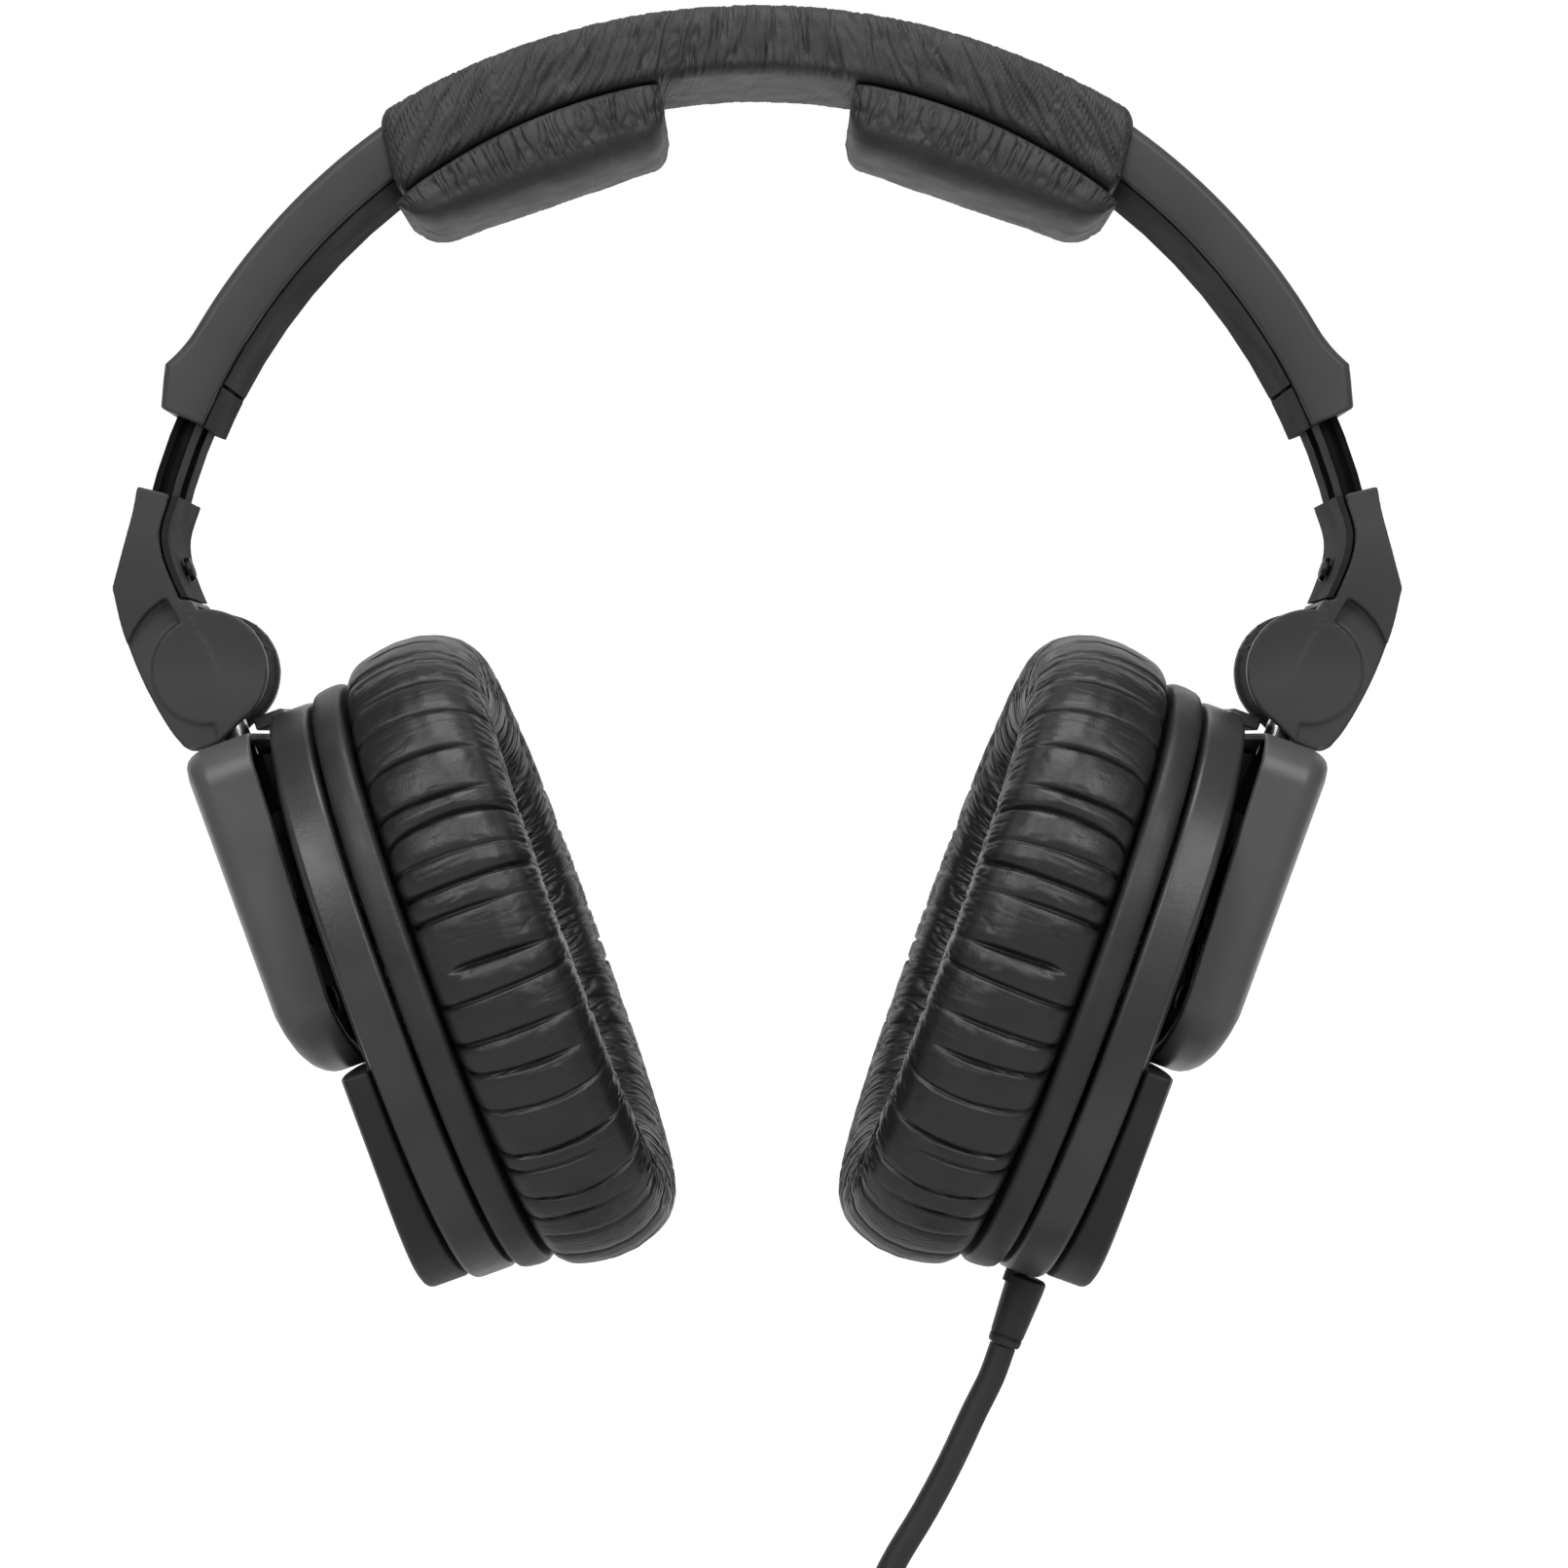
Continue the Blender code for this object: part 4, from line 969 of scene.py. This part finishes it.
COVER_END = 37.0  # degrees from the crown
COVER_ROWS = 900
COVER_COLUMNS = 168
COVER_MIDDLE = 90.5  # the radius halfway through its thickness
BAND_HALF_WIDTH = 16.5
WRINKLE_RADIUS = 89.7
END_LEAN, LEAN_RADIUS = 0.25, 88.5  # degrees per millimetre of radius, and where it is none
LINING_ROWS = 40


def cover_section(share):
    """The cover's outline at a share of its half length, as an array of (radius, y)."""
    inner, outer, half = 84.95, 95.0 + 1.5 * share**2, BAND_HALF_WIDTH
    low, high = 1.5, 2.6
    left = [(inner, 0.0), (inner, -half / 2)]
    for degrees in span(90.0, 0.0, 7):
        angle = math.radians(degrees)
        left.append((inner + low - low * math.sin(angle), 4.5 - half - 4.5 * math.cos(angle)))
    for r in span(inner + low + 0.5, outer - high - 0.5, 16):
        left.append((r, -half))
    for degrees in span(0.0, 90.0, 8):
        angle = math.radians(degrees)
        left.append((outer - high + high * math.sin(angle), high - half - high * math.cos(angle)))
    left += [(outer + 0.15, -half / 2), (outer + 0.25, 0.0)]
    right = [(r, -y) for r, y in reversed(left[1:-1])]
    return resampled(left + right, COVER_COLUMNS, closed=True)


def cover_points():
    """The cover's outside from end to end as (radius, y, share), drawn in round its two lips."""
    stations = np.linspace(-1.0, 1.0, COVER_ROWS)
    outer = np.array([cover_section(abs(a)) for a in stations])
    radius, y = outer[..., 0], outer[..., 1]
    a = stations[:, None] * np.ones_like(radius)
    lip, mean_radius = 2.2, 92.0
    edge = np.clip((1.0 - np.abs(a)) * COVER_END * math.pi / 180 * mean_radius, 0.0, lip)
    inset = lip - np.sqrt(np.maximum(lip**2 - (lip - edge) ** 2, 0.0))
    reach = np.abs(radius - COVER_MIDDLE)
    shrink = np.where(reach > 3.5, 1 - inset / np.maximum(reach, 4.0), 1.0)
    radius = COVER_MIDDLE + (radius - COVER_MIDDLE) * shrink
    radius, y = cover_relief(radius, y * (1 - inset / BAND_HALF_WIDTH), a)
    return radius, y, a


def cover_relief(radius, y, a):
    """The padding's slow swell across the faces, gathered a little unevenly along the band."""
    on_side = ease(np.abs(y), 13.0, 15.8)
    swell = 0.35 * np.exp(-(((radius - COVER_MIDDLE) / 3.0) ** 2))
    swell = swell + 0.2 * lattice_noise(a * 0.5, radius * 0.01, 26, 3, 61)
    return radius, y + np.sign(y) * on_side * swell


def cover_wrinkles(radius, a, y):
    """Creases that lean outwards towards the ends, shallow on top and fine underneath."""
    height = (radius - WRINKLE_RADIUS) / 6.0
    along = 0.5 + 0.5 * a * (1.0 + 0.15 * height) + 0.015 * y / 16.0
    warp = 0.005 * lattice_noise(a * 0.5, height * 0.1, 60, 6, 71)
    across = 0.08 * (radius - 84.0) / 12.0 + 0.01 * np.abs(y) / 16.6
    big = creases(along + warp, across, 84, 14, 73, 0.28)
    mid = creases(along + 1.4 * warp, across, 170, 24, 79, 0.36)
    small = creases(along + 2.0 * warp, across, 320, 60, 83, 0.4)
    waves = lattice_noise(along + warp, across, 110, 24, 89)
    patch = 0.5 + 0.5 * lattice_noise(a * 0.5, across, 28, 20, 97)
    side = ease(np.abs(y), 12.5, 15.5) * (0.2 + 0.8 * ease(radius, 95.3 + 1.5 * a**2, 93.4))
    side = side * (0.35 + 0.65 * ease(radius, 85.0, 86.4))
    face = 0.55 * big + 0.50 * mid * (0.4 + 0.6 * patch) + 0.18 * small + 0.14 * waves
    rest = 0.03 * big + 0.05 * mid + 0.05 * small + 0.02 * waves
    return face * side + rest * (1 - side)


def arc_grid(radius, y, share, reach):
    """The points at a share of the band's reach in degrees; its ends lean outwards."""
    angle = np.radians(share * (reach + END_LEAN * (LEAN_RADIUS - radius)))
    return np.stack([radius * np.sin(angle), y, radius * np.cos(angle)], 2)


def inner_section(share):
    """The room inside the cover: round the sleeves at its ends, round the thinner band between."""
    degrees = share * COVER_END
    half, top = (15.35, 95.15) if degrees > 33.3 else (11.5, 91.8)
    outline = [(87.0, 0.0), (87.0, -half), (top, -half), (top, 0.0), (top, half), (87.0, half)]
    return resampled(outline, COVER_COLUMNS, closed=True)


def build_headband_cover():
    radius, y, a = cover_points()
    skin = arc_grid(radius, y, a, COVER_END)
    normals = outward(skin, grid_normals(skin, closed_rows=False))
    under_cushion = ease(np.abs(a) * COVER_END, 9.0, 10.0) * ease(radius, 85.6, 85.1)
    fade = ease(1 - np.abs(a), 0.0, 0.02) * (1 - under_cushion)
    skin = skin + normals * (cover_wrinkles(radius, a, y) * fade)[..., None]
    inside = np.array([inner_section(abs(share)) for share in span(1.0, -1.0, LINING_ROWS)])
    b = np.linspace(1.0, -1.0, LINING_ROWS)[:, None] * np.ones_like(inside[..., 0])
    lining = arc_grid(inside[..., 0], inside[..., 1], b, COVER_END - 0.4)
    cover = grid_object("band_cover", np.concatenate([skin, lining]), True, True)
    recalculated(cover)
    into_place(cover, ARC_FRAME)
    dressed(cover, "cover", "headband", "leatherette", "headband_cover")


# ---------------------------------------------------------------- crown cushions

CUSHION_ENDS = (9.7, 38.5)  # degrees from the crown
CUSHION_ROWS = 72
CUSHION_COLUMNS = 76
CUSHION_FINE = (360, 228)
CUSHION_FOOT = 74.9  # the foot is flat: this far from the arc's centre, square to the lean
CUSHION_LEAN = 18.8


def cushion_section(phi):
    """A flat top against the band, full walls and a well rounded foot."""
    foot = CUSHION_FOOT / math.cos(math.radians(phi - CUSHION_LEAN))
    top, half, shoulder = 84.65, BAND_HALF_WIDTH, 1.3
    roll, depth = min(4.8, 0.42 * (top - foot)), 8.5
    left = [(top, 0.0), (top, -8.0), (top, shoulder - half)]
    for degrees in span(70.0, 10.0, 4):
        angle = math.radians(degrees)
        along = shoulder - shoulder * math.sin(angle)
        left.append((top - along, shoulder - half - shoulder * math.cos(angle)))
    left.append(((top - shoulder + foot + roll) / 2, -half - 0.25))
    for degrees in span(12.0, 90.0, 7):
        angle = math.radians(degrees)
        along = roll - roll * math.sin(angle)
        left.append((foot + along, depth - half - depth * math.cos(angle)))
    left.append((foot - 0.3, 0.0))
    right = [(r, -y) for r, y in reversed(left[1:-1])]
    return resampled(left + right, CUSHION_COLUMNS, closed=True)


def cushion_grid():
    """Rings from end to end; the first and last few round the ends' lower corners."""
    first, last = CUSHION_ENDS
    inner_round, outer_round, steps = 3.2, 4.0, 9
    turns = [math.pi / 2 * i / steps for i in range(steps)]
    along = [(0.0, inner_round, angle) for angle in turns]
    along += [(place, None, None) for place in span(0.0, 1.0, CUSHION_ROWS - 2 * steps)]
    along += [(1.0, outer_round, angle) for angle in reversed(turns)]
    reach = 82.0 * math.pi / 180  # millimetres to a degree
    low = first + inner_round / reach
    high = last - outer_round / reach
    rings = []
    for place, corner, angle in along:
        phi = low + (high - low) * place
        inset = 0.0
        if corner:
            side = -1.0 if place == 0.0 else 1.0
            phi += side * corner * math.cos(angle) / reach
            inset = corner * (1 - math.sin(angle))
        section = cushion_section(phi)
        top, foot = section[:, 0].max(), section[:, 0].min()
        inset = min(inset, 0.8 * (top - foot))
        radius = top - (top - section[:, 0]) * (1 - inset / (top - foot))
        across = section[:, 1] * (1 - 0.7 * inset / BAND_HALF_WIDTH)
        rings.append([on_arc(r, y, phi) for r, y in zip(radius, across)])
    return np.array(rings)


def cushion_points():
    """The cushion's skin, swollen as cloth and creased; its top stays flat against the band."""
    base = cushion_grid()
    held = ease(np.hypot(base[..., 0], base[..., 2]), 84.2, 84.6)
    swollen = inflated(base, held, 3.0, 0.9, closed_rows=False)
    fine = refined(swollen, *CUSHION_FINE, closed_rows=False)
    radius = np.hypot(fine[..., 0], fine[..., 2])
    degrees = np.degrees(np.arctan2(fine[..., 0], fine[..., 2]))
    y = fine[..., 1]
    normals = outward(fine, grid_normals(fine, closed_rows=False))
    u = degrees / 90.0
    across = 0.25 + 0.02 * (radius - 74.0) + 0.004 * y * (radius < 78.5)
    warp = 0.004 * lattice_noise(u, across, 60, 14, 101)
    long = creases(u + warp, across, 110, 5, 103, 0.26)
    mid = creases(u + 1.5 * warp, across, 200, 12, 107, 0.34)
    small = creases(u + 2 * warp, across, 330, 30, 109, 0.4)
    foot = CUSHION_FOOT / np.cos(np.radians(degrees - CUSHION_LEAN))
    upper = ease(radius - foot, 1.6, 4.6)
    front = ease(np.abs(y), 12.0, 15.2)
    shape = (0.50 * long + 0.40 * mid + 0.16 * small) * upper * front
    shape += 0.07 * mid * (1 - upper) + 0.10 * lattice_noise(u, across, 40, 16, 113)
    hidden = ease(radius, 84.6, 84.2)
    return fine + normals * (shape * hidden)[..., None]


def build_crown_cushions():
    points = cushion_points()
    for side, sign in SIDES:
        cushion = loft(side + "_cushion", points)
        cushion.data.shade_smooth()
        into_place(cushion, ARC_FRAME, sign)
        dressed(cushion, "cover", "headband", "leatherette", side + "_crown_cushion")


# ---------------------------------------------------------------- moulded pieces


def channel_section(half_width, inner_half_width, foot, ceiling, outer):
    """An upturned trough as (radius, y), its outer edges chamfered and its feet leaning in."""
    chamfer = 0.9
    lean, slope = (1.1, 2.4) if half_width > 12.0 else (0.2, 0.2)
    return [
        (foot + slope, -half_width),
        (foot, lean - half_width),
        (foot, -inner_half_width),
        (ceiling, -inner_half_width),
        (ceiling, inner_half_width),
        (foot, inner_half_width),
        (foot, half_width - lean),
        (foot + slope, half_width),
        (outer - chamfer, half_width),
        (outer, half_width - chamfer),
        (outer, chamfer - half_width),
        (outer - chamfer, -half_width),
    ]


def sleeve_section(phi):
    """The slider's sleeve, which flares just before its end."""
    outer = 94.8
    flare_start, flare_top, end = 59.6, 63.7, 67.4
    if phi > flare_start:
        rise = min((phi - flare_start) / (flare_top - flare_start), 1.0)
        fall = max((phi - flare_top) / (end - flare_top), 0.0)
        outer += 1.5 * rise**2 - 2.1 * fall
    return channel_section(15.0, 13.0, 87.6, 92.4, outer)


def build_shell():
    """Both sleeves and the slim channel between them, as one moulding."""
    sleeve_start = 34.0
    inner = [2.35 + 31.15 * i / 12 for i in range(13)]
    outer = [sleeve_start, *span(35.5, 59.5, 17), *span(60.2, 63.6, 8), 63.75, 65.0, 67.4]

    def section(phi):
        if abs(phi) < sleeve_start:
            return channel_section(11.0, 9.5, 88.9, 89.8, 91.4)
        return sleeve_section(abs(phi))

    angles = inner + outer
    shell = arc_sweep("band_shell", section, [-a for a in reversed(angles)] + angles)
    into_place(shell, ARC_FRAME)
    rounded(shell, 0.45)
    dressed(shell, "shell", "headband", "headband_shell", "headband_shell")


ARM_HALF_WIDTH = 13.0
CHEEK_HALF_WIDTH = 9.6
CHEEK_FLARE = 3.4  # from the cheek's half width to the arm's
CHEEK_RELIEF = 0.45  # depth of the step beside the cheek and of its rim
BARREL_HALF_WIDTH = 6.7
ARM_SCREW_AT = Vector((3.9, 0.0, 15.15))
ARM_SCREW_AXIS = Vector((0.946, 0.0, -0.324))


def inner_edge(steps):
    """The arm's edge towards the head."""
    edge = [(2.4, 10.6), (3.6, 13.3), (4.8, 16.8), (5.1, 20.3), (3.6, 25.3)]
    return smooth_flat(edge, steps)


def arm_outline():
    upper = smooth_flat([(9.7, 26.8), (10.3, 23.4), (11.3, 19.6), (12.4, 15.7), (13.5, 12.0)], 3)
    lower = smooth_flat([(13.5, 12.0), (12.1, 5.4), (9.3, -1.8), (5.3, -8.9), (3.3, -11.3)], 5)
    tip = smooth_flat([(3.3, -11.3), (1.9, -11.9), (0.4, -11.5), (-1.8, -10.6)], 4)
    cheek = arc_points((0.0, 0.0), 8.96, 236.0, 82.0, 44)
    return upper[:-1] + lower[:-1] + tip + cheek + inner_edge(5)


def strip(offset_low, offset_high, foot, head):
    """An outline that follows the inner edge between two offsets."""
    edge = inner_edge(4)
    edge[0] = (edge[0][0], foot)
    edge[-1] = (edge[-1][0], head)
    near = [(x + offset_low, z) for x, z in edge]
    return near + [(x + offset_high, z) for x, z in reversed(edge)]


def slider_socket():
    rings = []
    for phi in span(72.0, 80.6, 8):
        corners = [(88.3, -11.3), (88.3, 11.3), (92.3, 11.3), (92.3, -11.3)]
        ring = []
        for r, y in corners:
            x, _, z = on_arc(r, y, phi)
            ring.append((x - HINGE.x, y, z - ARC_DEPTH - HINGE.z))
        rings.append(ring)
    return loft("slider_socket", rings)


def cheek_trim(side):
    """What narrows the arm from the slider's width to the hinge's, in one smooth sweep."""
    profile = [(CHEEK_HALF_WIDTH, -20.0)]
    for share in span(0.0, 1.0, 28):
        blend = float(ease(share, 0.0, 1.0))
        profile.append((CHEEK_HALF_WIDTH + CHEEK_FLARE * blend, -1.0 + 21.0 * share))
    profile += [(20.0, 20.1), (20.0, -20.0)]
    rings = [[(x, side * y, z) for y, z in profile] for x in (-20.0, 30.0)]
    return loft("cheek_trim", rings)


def arm_screw_hole():
    start = ARM_SCREW_AT - ARM_SCREW_AXIS
    return rod("screw_hole", start, ARM_SCREW_AT + ARM_SCREW_AXIS * 5.4, 1.1, 20)


def arm_shell():
    """The forked arm, with room for the slider, the barrel, the inner strip and its screw."""
    body = prism("arm", arm_outline(), ARM_HALF_WIDTH)
    half_room = BARREL_HALF_WIDTH + GAP
    room = rod("room", (0, -half_room, 0), (0, half_room, 0), 9.6, 64)
    sweep = arc_points((0.0, 0.0), 22.0, 150.0, 262.0, 12) + [(0.0, 0.0)]
    mouth = prism("mouth", sweep, half_room)
    pin_hole = rod("pin_hole", (0, -8.9, 0), (0, 8.9, 0), 2.3)
    recess = prism("recess", strip(-3.0, 1.3, 10.3, 28.0), 20.0)
    tools = [cheek_trim(1.0), cheek_trim(-1.0), slider_socket()]
    tools += [room, mouth, pin_hole, recess, arm_screw_hole()]
    tools += [tool(side) for side in (1.0, -1.0) for tool in (cheek_step, cheek_rim)]
    return cut(body, *tools)


def cheek_step(side):
    """A shallow step beside the round cheek, running out along a slanting line."""
    edge = smooth_flat([(3.4, 14.0), (3.1, 10.5), (1.2, 6.0), (-1.0, 1.5), (-2.6, -3.0)], 5)
    rings = []
    for x, z in edge:
        depth = CHEEK_RELIEF * ease((z + 3.0) / 9.0, 0.0, 1.0) + 0.01
        surface = CHEEK_HALF_WIDTH + CHEEK_FLARE * float(ease((z + 1.0) / 21.0, 0.0, 1.0))
        low, high = surface - float(depth), surface + 3.0
        rings.append([(x, side * low, z), (x, side * high, z), (x - 14, side * high, z - 3)])
        rings[-1].append((x - 14, side * low, z - 3))
    return loft("cheek_step", rings)


def cheek_rim(side):
    """A lower rim round the free edge of the round cheek."""
    near = arc_points((0.0, 0.0), 7.9, -100.0, 62.0, 30)
    outline = near + arc_points((0.0, 0.0), 12.0, 62.0, -100.0, 20)
    low, high = CHEEK_HALF_WIDTH - CHEEK_RELIEF, CHEEK_HALF_WIDTH + 3.0
    return loft("cheek_rim", [[(x, side * y, z) for x, z in outline] for y in (low, high)])


def inner_cover():
    """The strip that closes the arm towards the head."""
    body = prism("inner_cover", strip(0.0, 1.0, 10.6, 25.3), 12.9)
    return cut(body, cheek_trim(1.0), cheek_trim(-1.0))


def softly_rounded(made, voxel, passes, keep):
    """Every edge rounded a little: remeshed finely, smoothed and thinned again."""
    remesh = made.modifiers.new("remesh", "REMESH")
    remesh.mode = "VOXEL"
    remesh.voxel_size = voxel * MM
    smooth = made.modifiers.new("smooth", "SMOOTH")
    smooth.iterations = passes
    thin = made.modifiers.new("thin", "DECIMATE")
    thin.ratio = keep
    applied(made)
    made.data.shade_smooth()
    return made


def build_arms():
    for side, sign in SIDES:
        arm = into_place(arm_shell(), HINGE_FRAME, sign, side + "_arm_moulding")
        softly_rounded(arm, 0.25, 5, 0.3)
        dressed(arm, "arm", side + "_arm", "arm_black", side + "_arm_shell")
        cover = into_place(inner_cover(), HINGE_FRAME, sign, side + "_arm_strip")
        softly_rounded(cover, 0.15, 2, 0.3)
        dressed(cover, "strip", side + "_arm", "arm_black", side + "_arm_inner_cover")


def yoke_outline(inset, depth, count=25):
    """The yoke's outline drawn in by an inset; depth gives x for each height."""
    half = 28.0 - inset
    top = 42.3 - 0.45 * inset
    corner = max(6.0 - inset, 1.0)
    right = arc_points((half - corner, top - corner), corner, 90.0, 0.0, 12)
    foot_top = 3.0
    drop = foot_top + 8.6 - inset
    foot = []
    for degrees in span(0.0, -180.0, 2 * count - 1):
        angle = math.radians(degrees)
        foot.append((half * math.cos(angle), foot_top + drop * math.sin(angle)))
    left = [(-y, z) for y, z in reversed(right)]
    return [(depth(z), y, z) for y, z in right + foot + left]


def yoke_rim(z):
    """How far in the yoke's rim reaches; it slants towards the hinge."""
    if z > 18.0:
        return 10.0 - 1.8 * (z - 18.0) / 24.3
    return 10.0


def flat_ring(inset, x):
    return yoke_outline(inset, lambda z: x)


def yoke_shell():
    """A shallow dish from its outer face, round the rim, to its inside."""
    levels = [(10.5, 19.35), (7.0, 18.95), (3.6, 18.3), (2.2, 17.9)]
    levels += [(1.2, 17.3), (0.5, 16.5), (0.12, 15.7), (0.0, 15.0)]
    rings = [flat_ring(inset, x) for inset, x in levels]
    rings.append(yoke_outline(0.0, lambda z: yoke_rim(z) + 0.35))
    rings.append(yoke_outline(0.35, yoke_rim))
    rings.append(yoke_outline(1.7, yoke_rim))
    rings.append(yoke_outline(2.0, lambda z: yoke_rim(z) + 0.3))
    inside = [(2.0, 15.4), (4.0, 16.4), (10.5, 17.3)]
    rings += [flat_ring(inset, x) for inset, x in inside]
    body = loft("yoke", rings)
    pin_hole = rod("yoke_pin_hole", (SWIVEL_X, 0, 38.0), (SWIVEL_X, 0, 48.0), 2.3)
    screw_hole = rod("yoke_screw_hole", (14.0, 0, 2.0), (18.0, 0, 2.0), 1.1, 20)
    return cut(body, pin_hole, screw_hole)


def build_yokes():
    for side, sign in SIDES:
        yoke = into_place(yoke_shell(), CUP_FRAME, sign, side + "_yoke_moulding")
        rounded(yoke, 0.0)
        dressed(yoke, "yoke", side + "_yoke", "yoke_grey", side + "_yoke_shell")


def crowned(ring):
    """The ring bent back towards its front and rear."""
    return [(x - 2.9 * (y / 36.0) ** 2 * (x - 6.8) / 7.0, y, z) for x, y, z in ring]


def back_cover():
    """The cup's back: a plug, a raised lower half and a lug for the tilt axle."""
    plug = loft("back", [oval((41.0, 34.3), 4.3), oval((41.0, 34.3), 7.2)])
    levels = [((42.2, 35.5), 6.8), ((43.4, 36.6), 7.6), ((43.4, 36.6), 12.9), ((43.0, 36.2), 13.4)]
    levels += [((42.2, 35.4), 13.7), ((34.0, 27.0), 13.9), ((18.0, 14.0), 13.9), ((6.0, 5.0), 13.9)]
    raised = loft("raised", [crowned(oval(size, x)) for size, x in levels])
    upper = box("upper", (6.0, -60, -8.95), (30.0, 60, 60))
    lower_half = cut(raised, upper)
    hollow_levels = [((39.0, 32.3), 3.5), ((39.0, 32.3), 8.6), ((35.0, 27.5), 10.6)]
    hollow = loft("hollow", [oval(size, x) for size, x in hollow_levels])
    above = box("above", (0.0, -60, -12.0), (30.0, 60, 60))
    room = cut(hollow, above)
    x, z, reach = 10.6, 14.0, 2.7
    tip = arc_points((x, z), reach, -60.0, 60.0, 12)
    web = [(6.0, z - reach), (x, z - reach), *tip, (x, z + reach), (6.0, z + reach)]
    lug = prism("lug", web, 13.0)
    axle_hole = rod("axle_hole", (x, -30, z), (x, 30, z), 1.5, 24)
    tools = [("UNION", lower_half), ("DIFFERENCE", room), ("UNION", lug), ("DIFFERENCE", axle_hole)]
    return combined(plug, tools)


def housing():
    """The cup's ring with rounded edges and its tab on top."""
    profile = [(0.9, 0.3), (0.35, 0.42), (0.08, 0.75), (0.0, 1.2), (0.0, 5.5), (0.1, 5.95)]
    profile += [(0.4, 6.32), (1.0, 6.5), (3.05, 6.5), (3.1, 6.4), (3.1, 0.4), (3.05, 0.3)]
    body = loft("ring", [oval(smaller(HOUSING_SIZE, i), x) for i, x in profile], ring_shaped=True)
    tab = box("tab", (4.6, -6.0, 42.9), (9.2, 6.0, 44.9))
    return combined(body, [("UNION", tab)])


def flange():
    """The band that the pad's skirt wraps, with a soft roll beside the pad."""
    profile = [(1.6, -0.4), (0.8, -0.5), (0.3, -0.8), (0.05, -1.3), (-0.1, -2.1), (-0.2, -3.0)]
    profile += [(-0.2, -3.9), (-0.1, -4.5), (0.2, -4.95), (0.7, -5.15), (1.5, -5.2)]
    profile += [(9.3, -5.2), (9.3, -2.2), (7.7, -2.2), (7.7, -0.4)]
    rings = [oval(smaller(FLANGE_SIZE, inset), x, 220) for inset, x in profile]
    return loft("band", rings, ring_shaped=True)


def build_cups():
    for side, sign in SIDES:
        cup = side + "_cup"
        back = into_place(back_cover(), CUP_FRAME, sign, side + "_back")
        rounded(back, 0.4)
        dressed(back, "back", cup, "moulded_black", side + "_back_cover")
        ring = housing()
        if side == "left":
            hole = rod("cord_hole", (3.8, 0, -60), (3.8, 0, -38), 2.0, 24)
            cut(ring, hole)
        into_place(ring, CUP_FRAME, sign, side + "_ring")
        rounded(ring, 0.3, 2, 50.0)
        dressed(ring, "housing", cup, "housing_grey", side + "_cup_housing")
        band = into_place(flange(), CUP_FRAME, sign, side + "_skirt")
        rounded(band, 0.0)
        dressed(band, "skirt", cup, "moulded_black", side + "_pad_flange")


def softened(node, name, width, material, body, slot):
    """A CAD node's own shape with its edges rounded."""
    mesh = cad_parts[node].data.copy()
    made = bpy.data.objects.new(name, mesh)
    bpy.context.collection.objects.link(made)
    bm = bmesh.new()
    bm.from_mesh(mesh)
    bmesh.ops.remove_doubles(bm, verts=bm.verts, dist=1e-6)
    flat = math.radians(0.6)
    bmesh.ops.dissolve_limit(bm, angle_limit=flat, verts=bm.verts, edges=bm.edges, delimit=set())
    bm.to_mesh(mesh)
    bm.free()
    if mesh.attributes.get("custom_normal"):
        mesh.attributes.remove(mesh.attributes["custom_normal"])
    rounded(made, width, 2, 28.0)
    return dressed(made, material, body, slot, node)


def build_small_parts():
    # the inside finish is painted shade, a darker copy of the satin plastic for pieces tucked in
    # shade
    softened("headband_liner", "band_liner", 0.2, "inside", "headband", "moulded_black")
    for side, _ in SIDES:
        arm, yoke = side + "_arm", side + "_yoke"
        rows = [
            ("end_clip", 0.2, "inside", "headband", "moulded_black"),
            ("slider_bar", 0.22, "slider", arm, "slider_nylon"),
            ("fold_barrel", 0.15, "inside", side + "_barrel", "moulded_black"),
            ("yoke_inner_plate", 0.2, "inside", yoke, "moulded_black"),
            ("swivel_pin", 0.15, "steel", yoke, "steel"),
        ]
        for node, width, material, body, slot in rows:
            name = f"{side}_{node}"
            softened(name, name + "_rounded", width, material, body, slot)


CARRIED = {
    "spring_band": "black_steel",
    "detent_spring": "black_steel",
    "hinge_pin": "steel",
    "arm_screw": "black_steel",
    "tilt_axle": "black_steel",
    "yoke_screw": "black_steel",
    "baffle_plate": "dark",
    "driver_frame": "dark",
    "driver_magnet": "steel",
    "driver_diaphragm": "film",
    "driver_grille": "dark",
}


def dress_carried_nodes():
    """Every CAD node gets a finish of this file, shown or not."""
    for name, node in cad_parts.items():
        plain = name.replace("left_", "").replace("right_", "")
        node.data.materials.clear()
        node.data.materials.append(FINISH[CARRIED.get(plain, "dark")])


FINISH = make_materials()
add_camera()
build_cord()
build_ear_pads()
build_damping_foam()
build_headband_cover()
build_crown_cushions()
build_shell()
build_arms()
build_yokes()
build_cups()
build_small_parts()
dress_carried_nodes()
add_floor()
add_lights()
bpy.context.scene.view_settings.view_transform = "Standard"
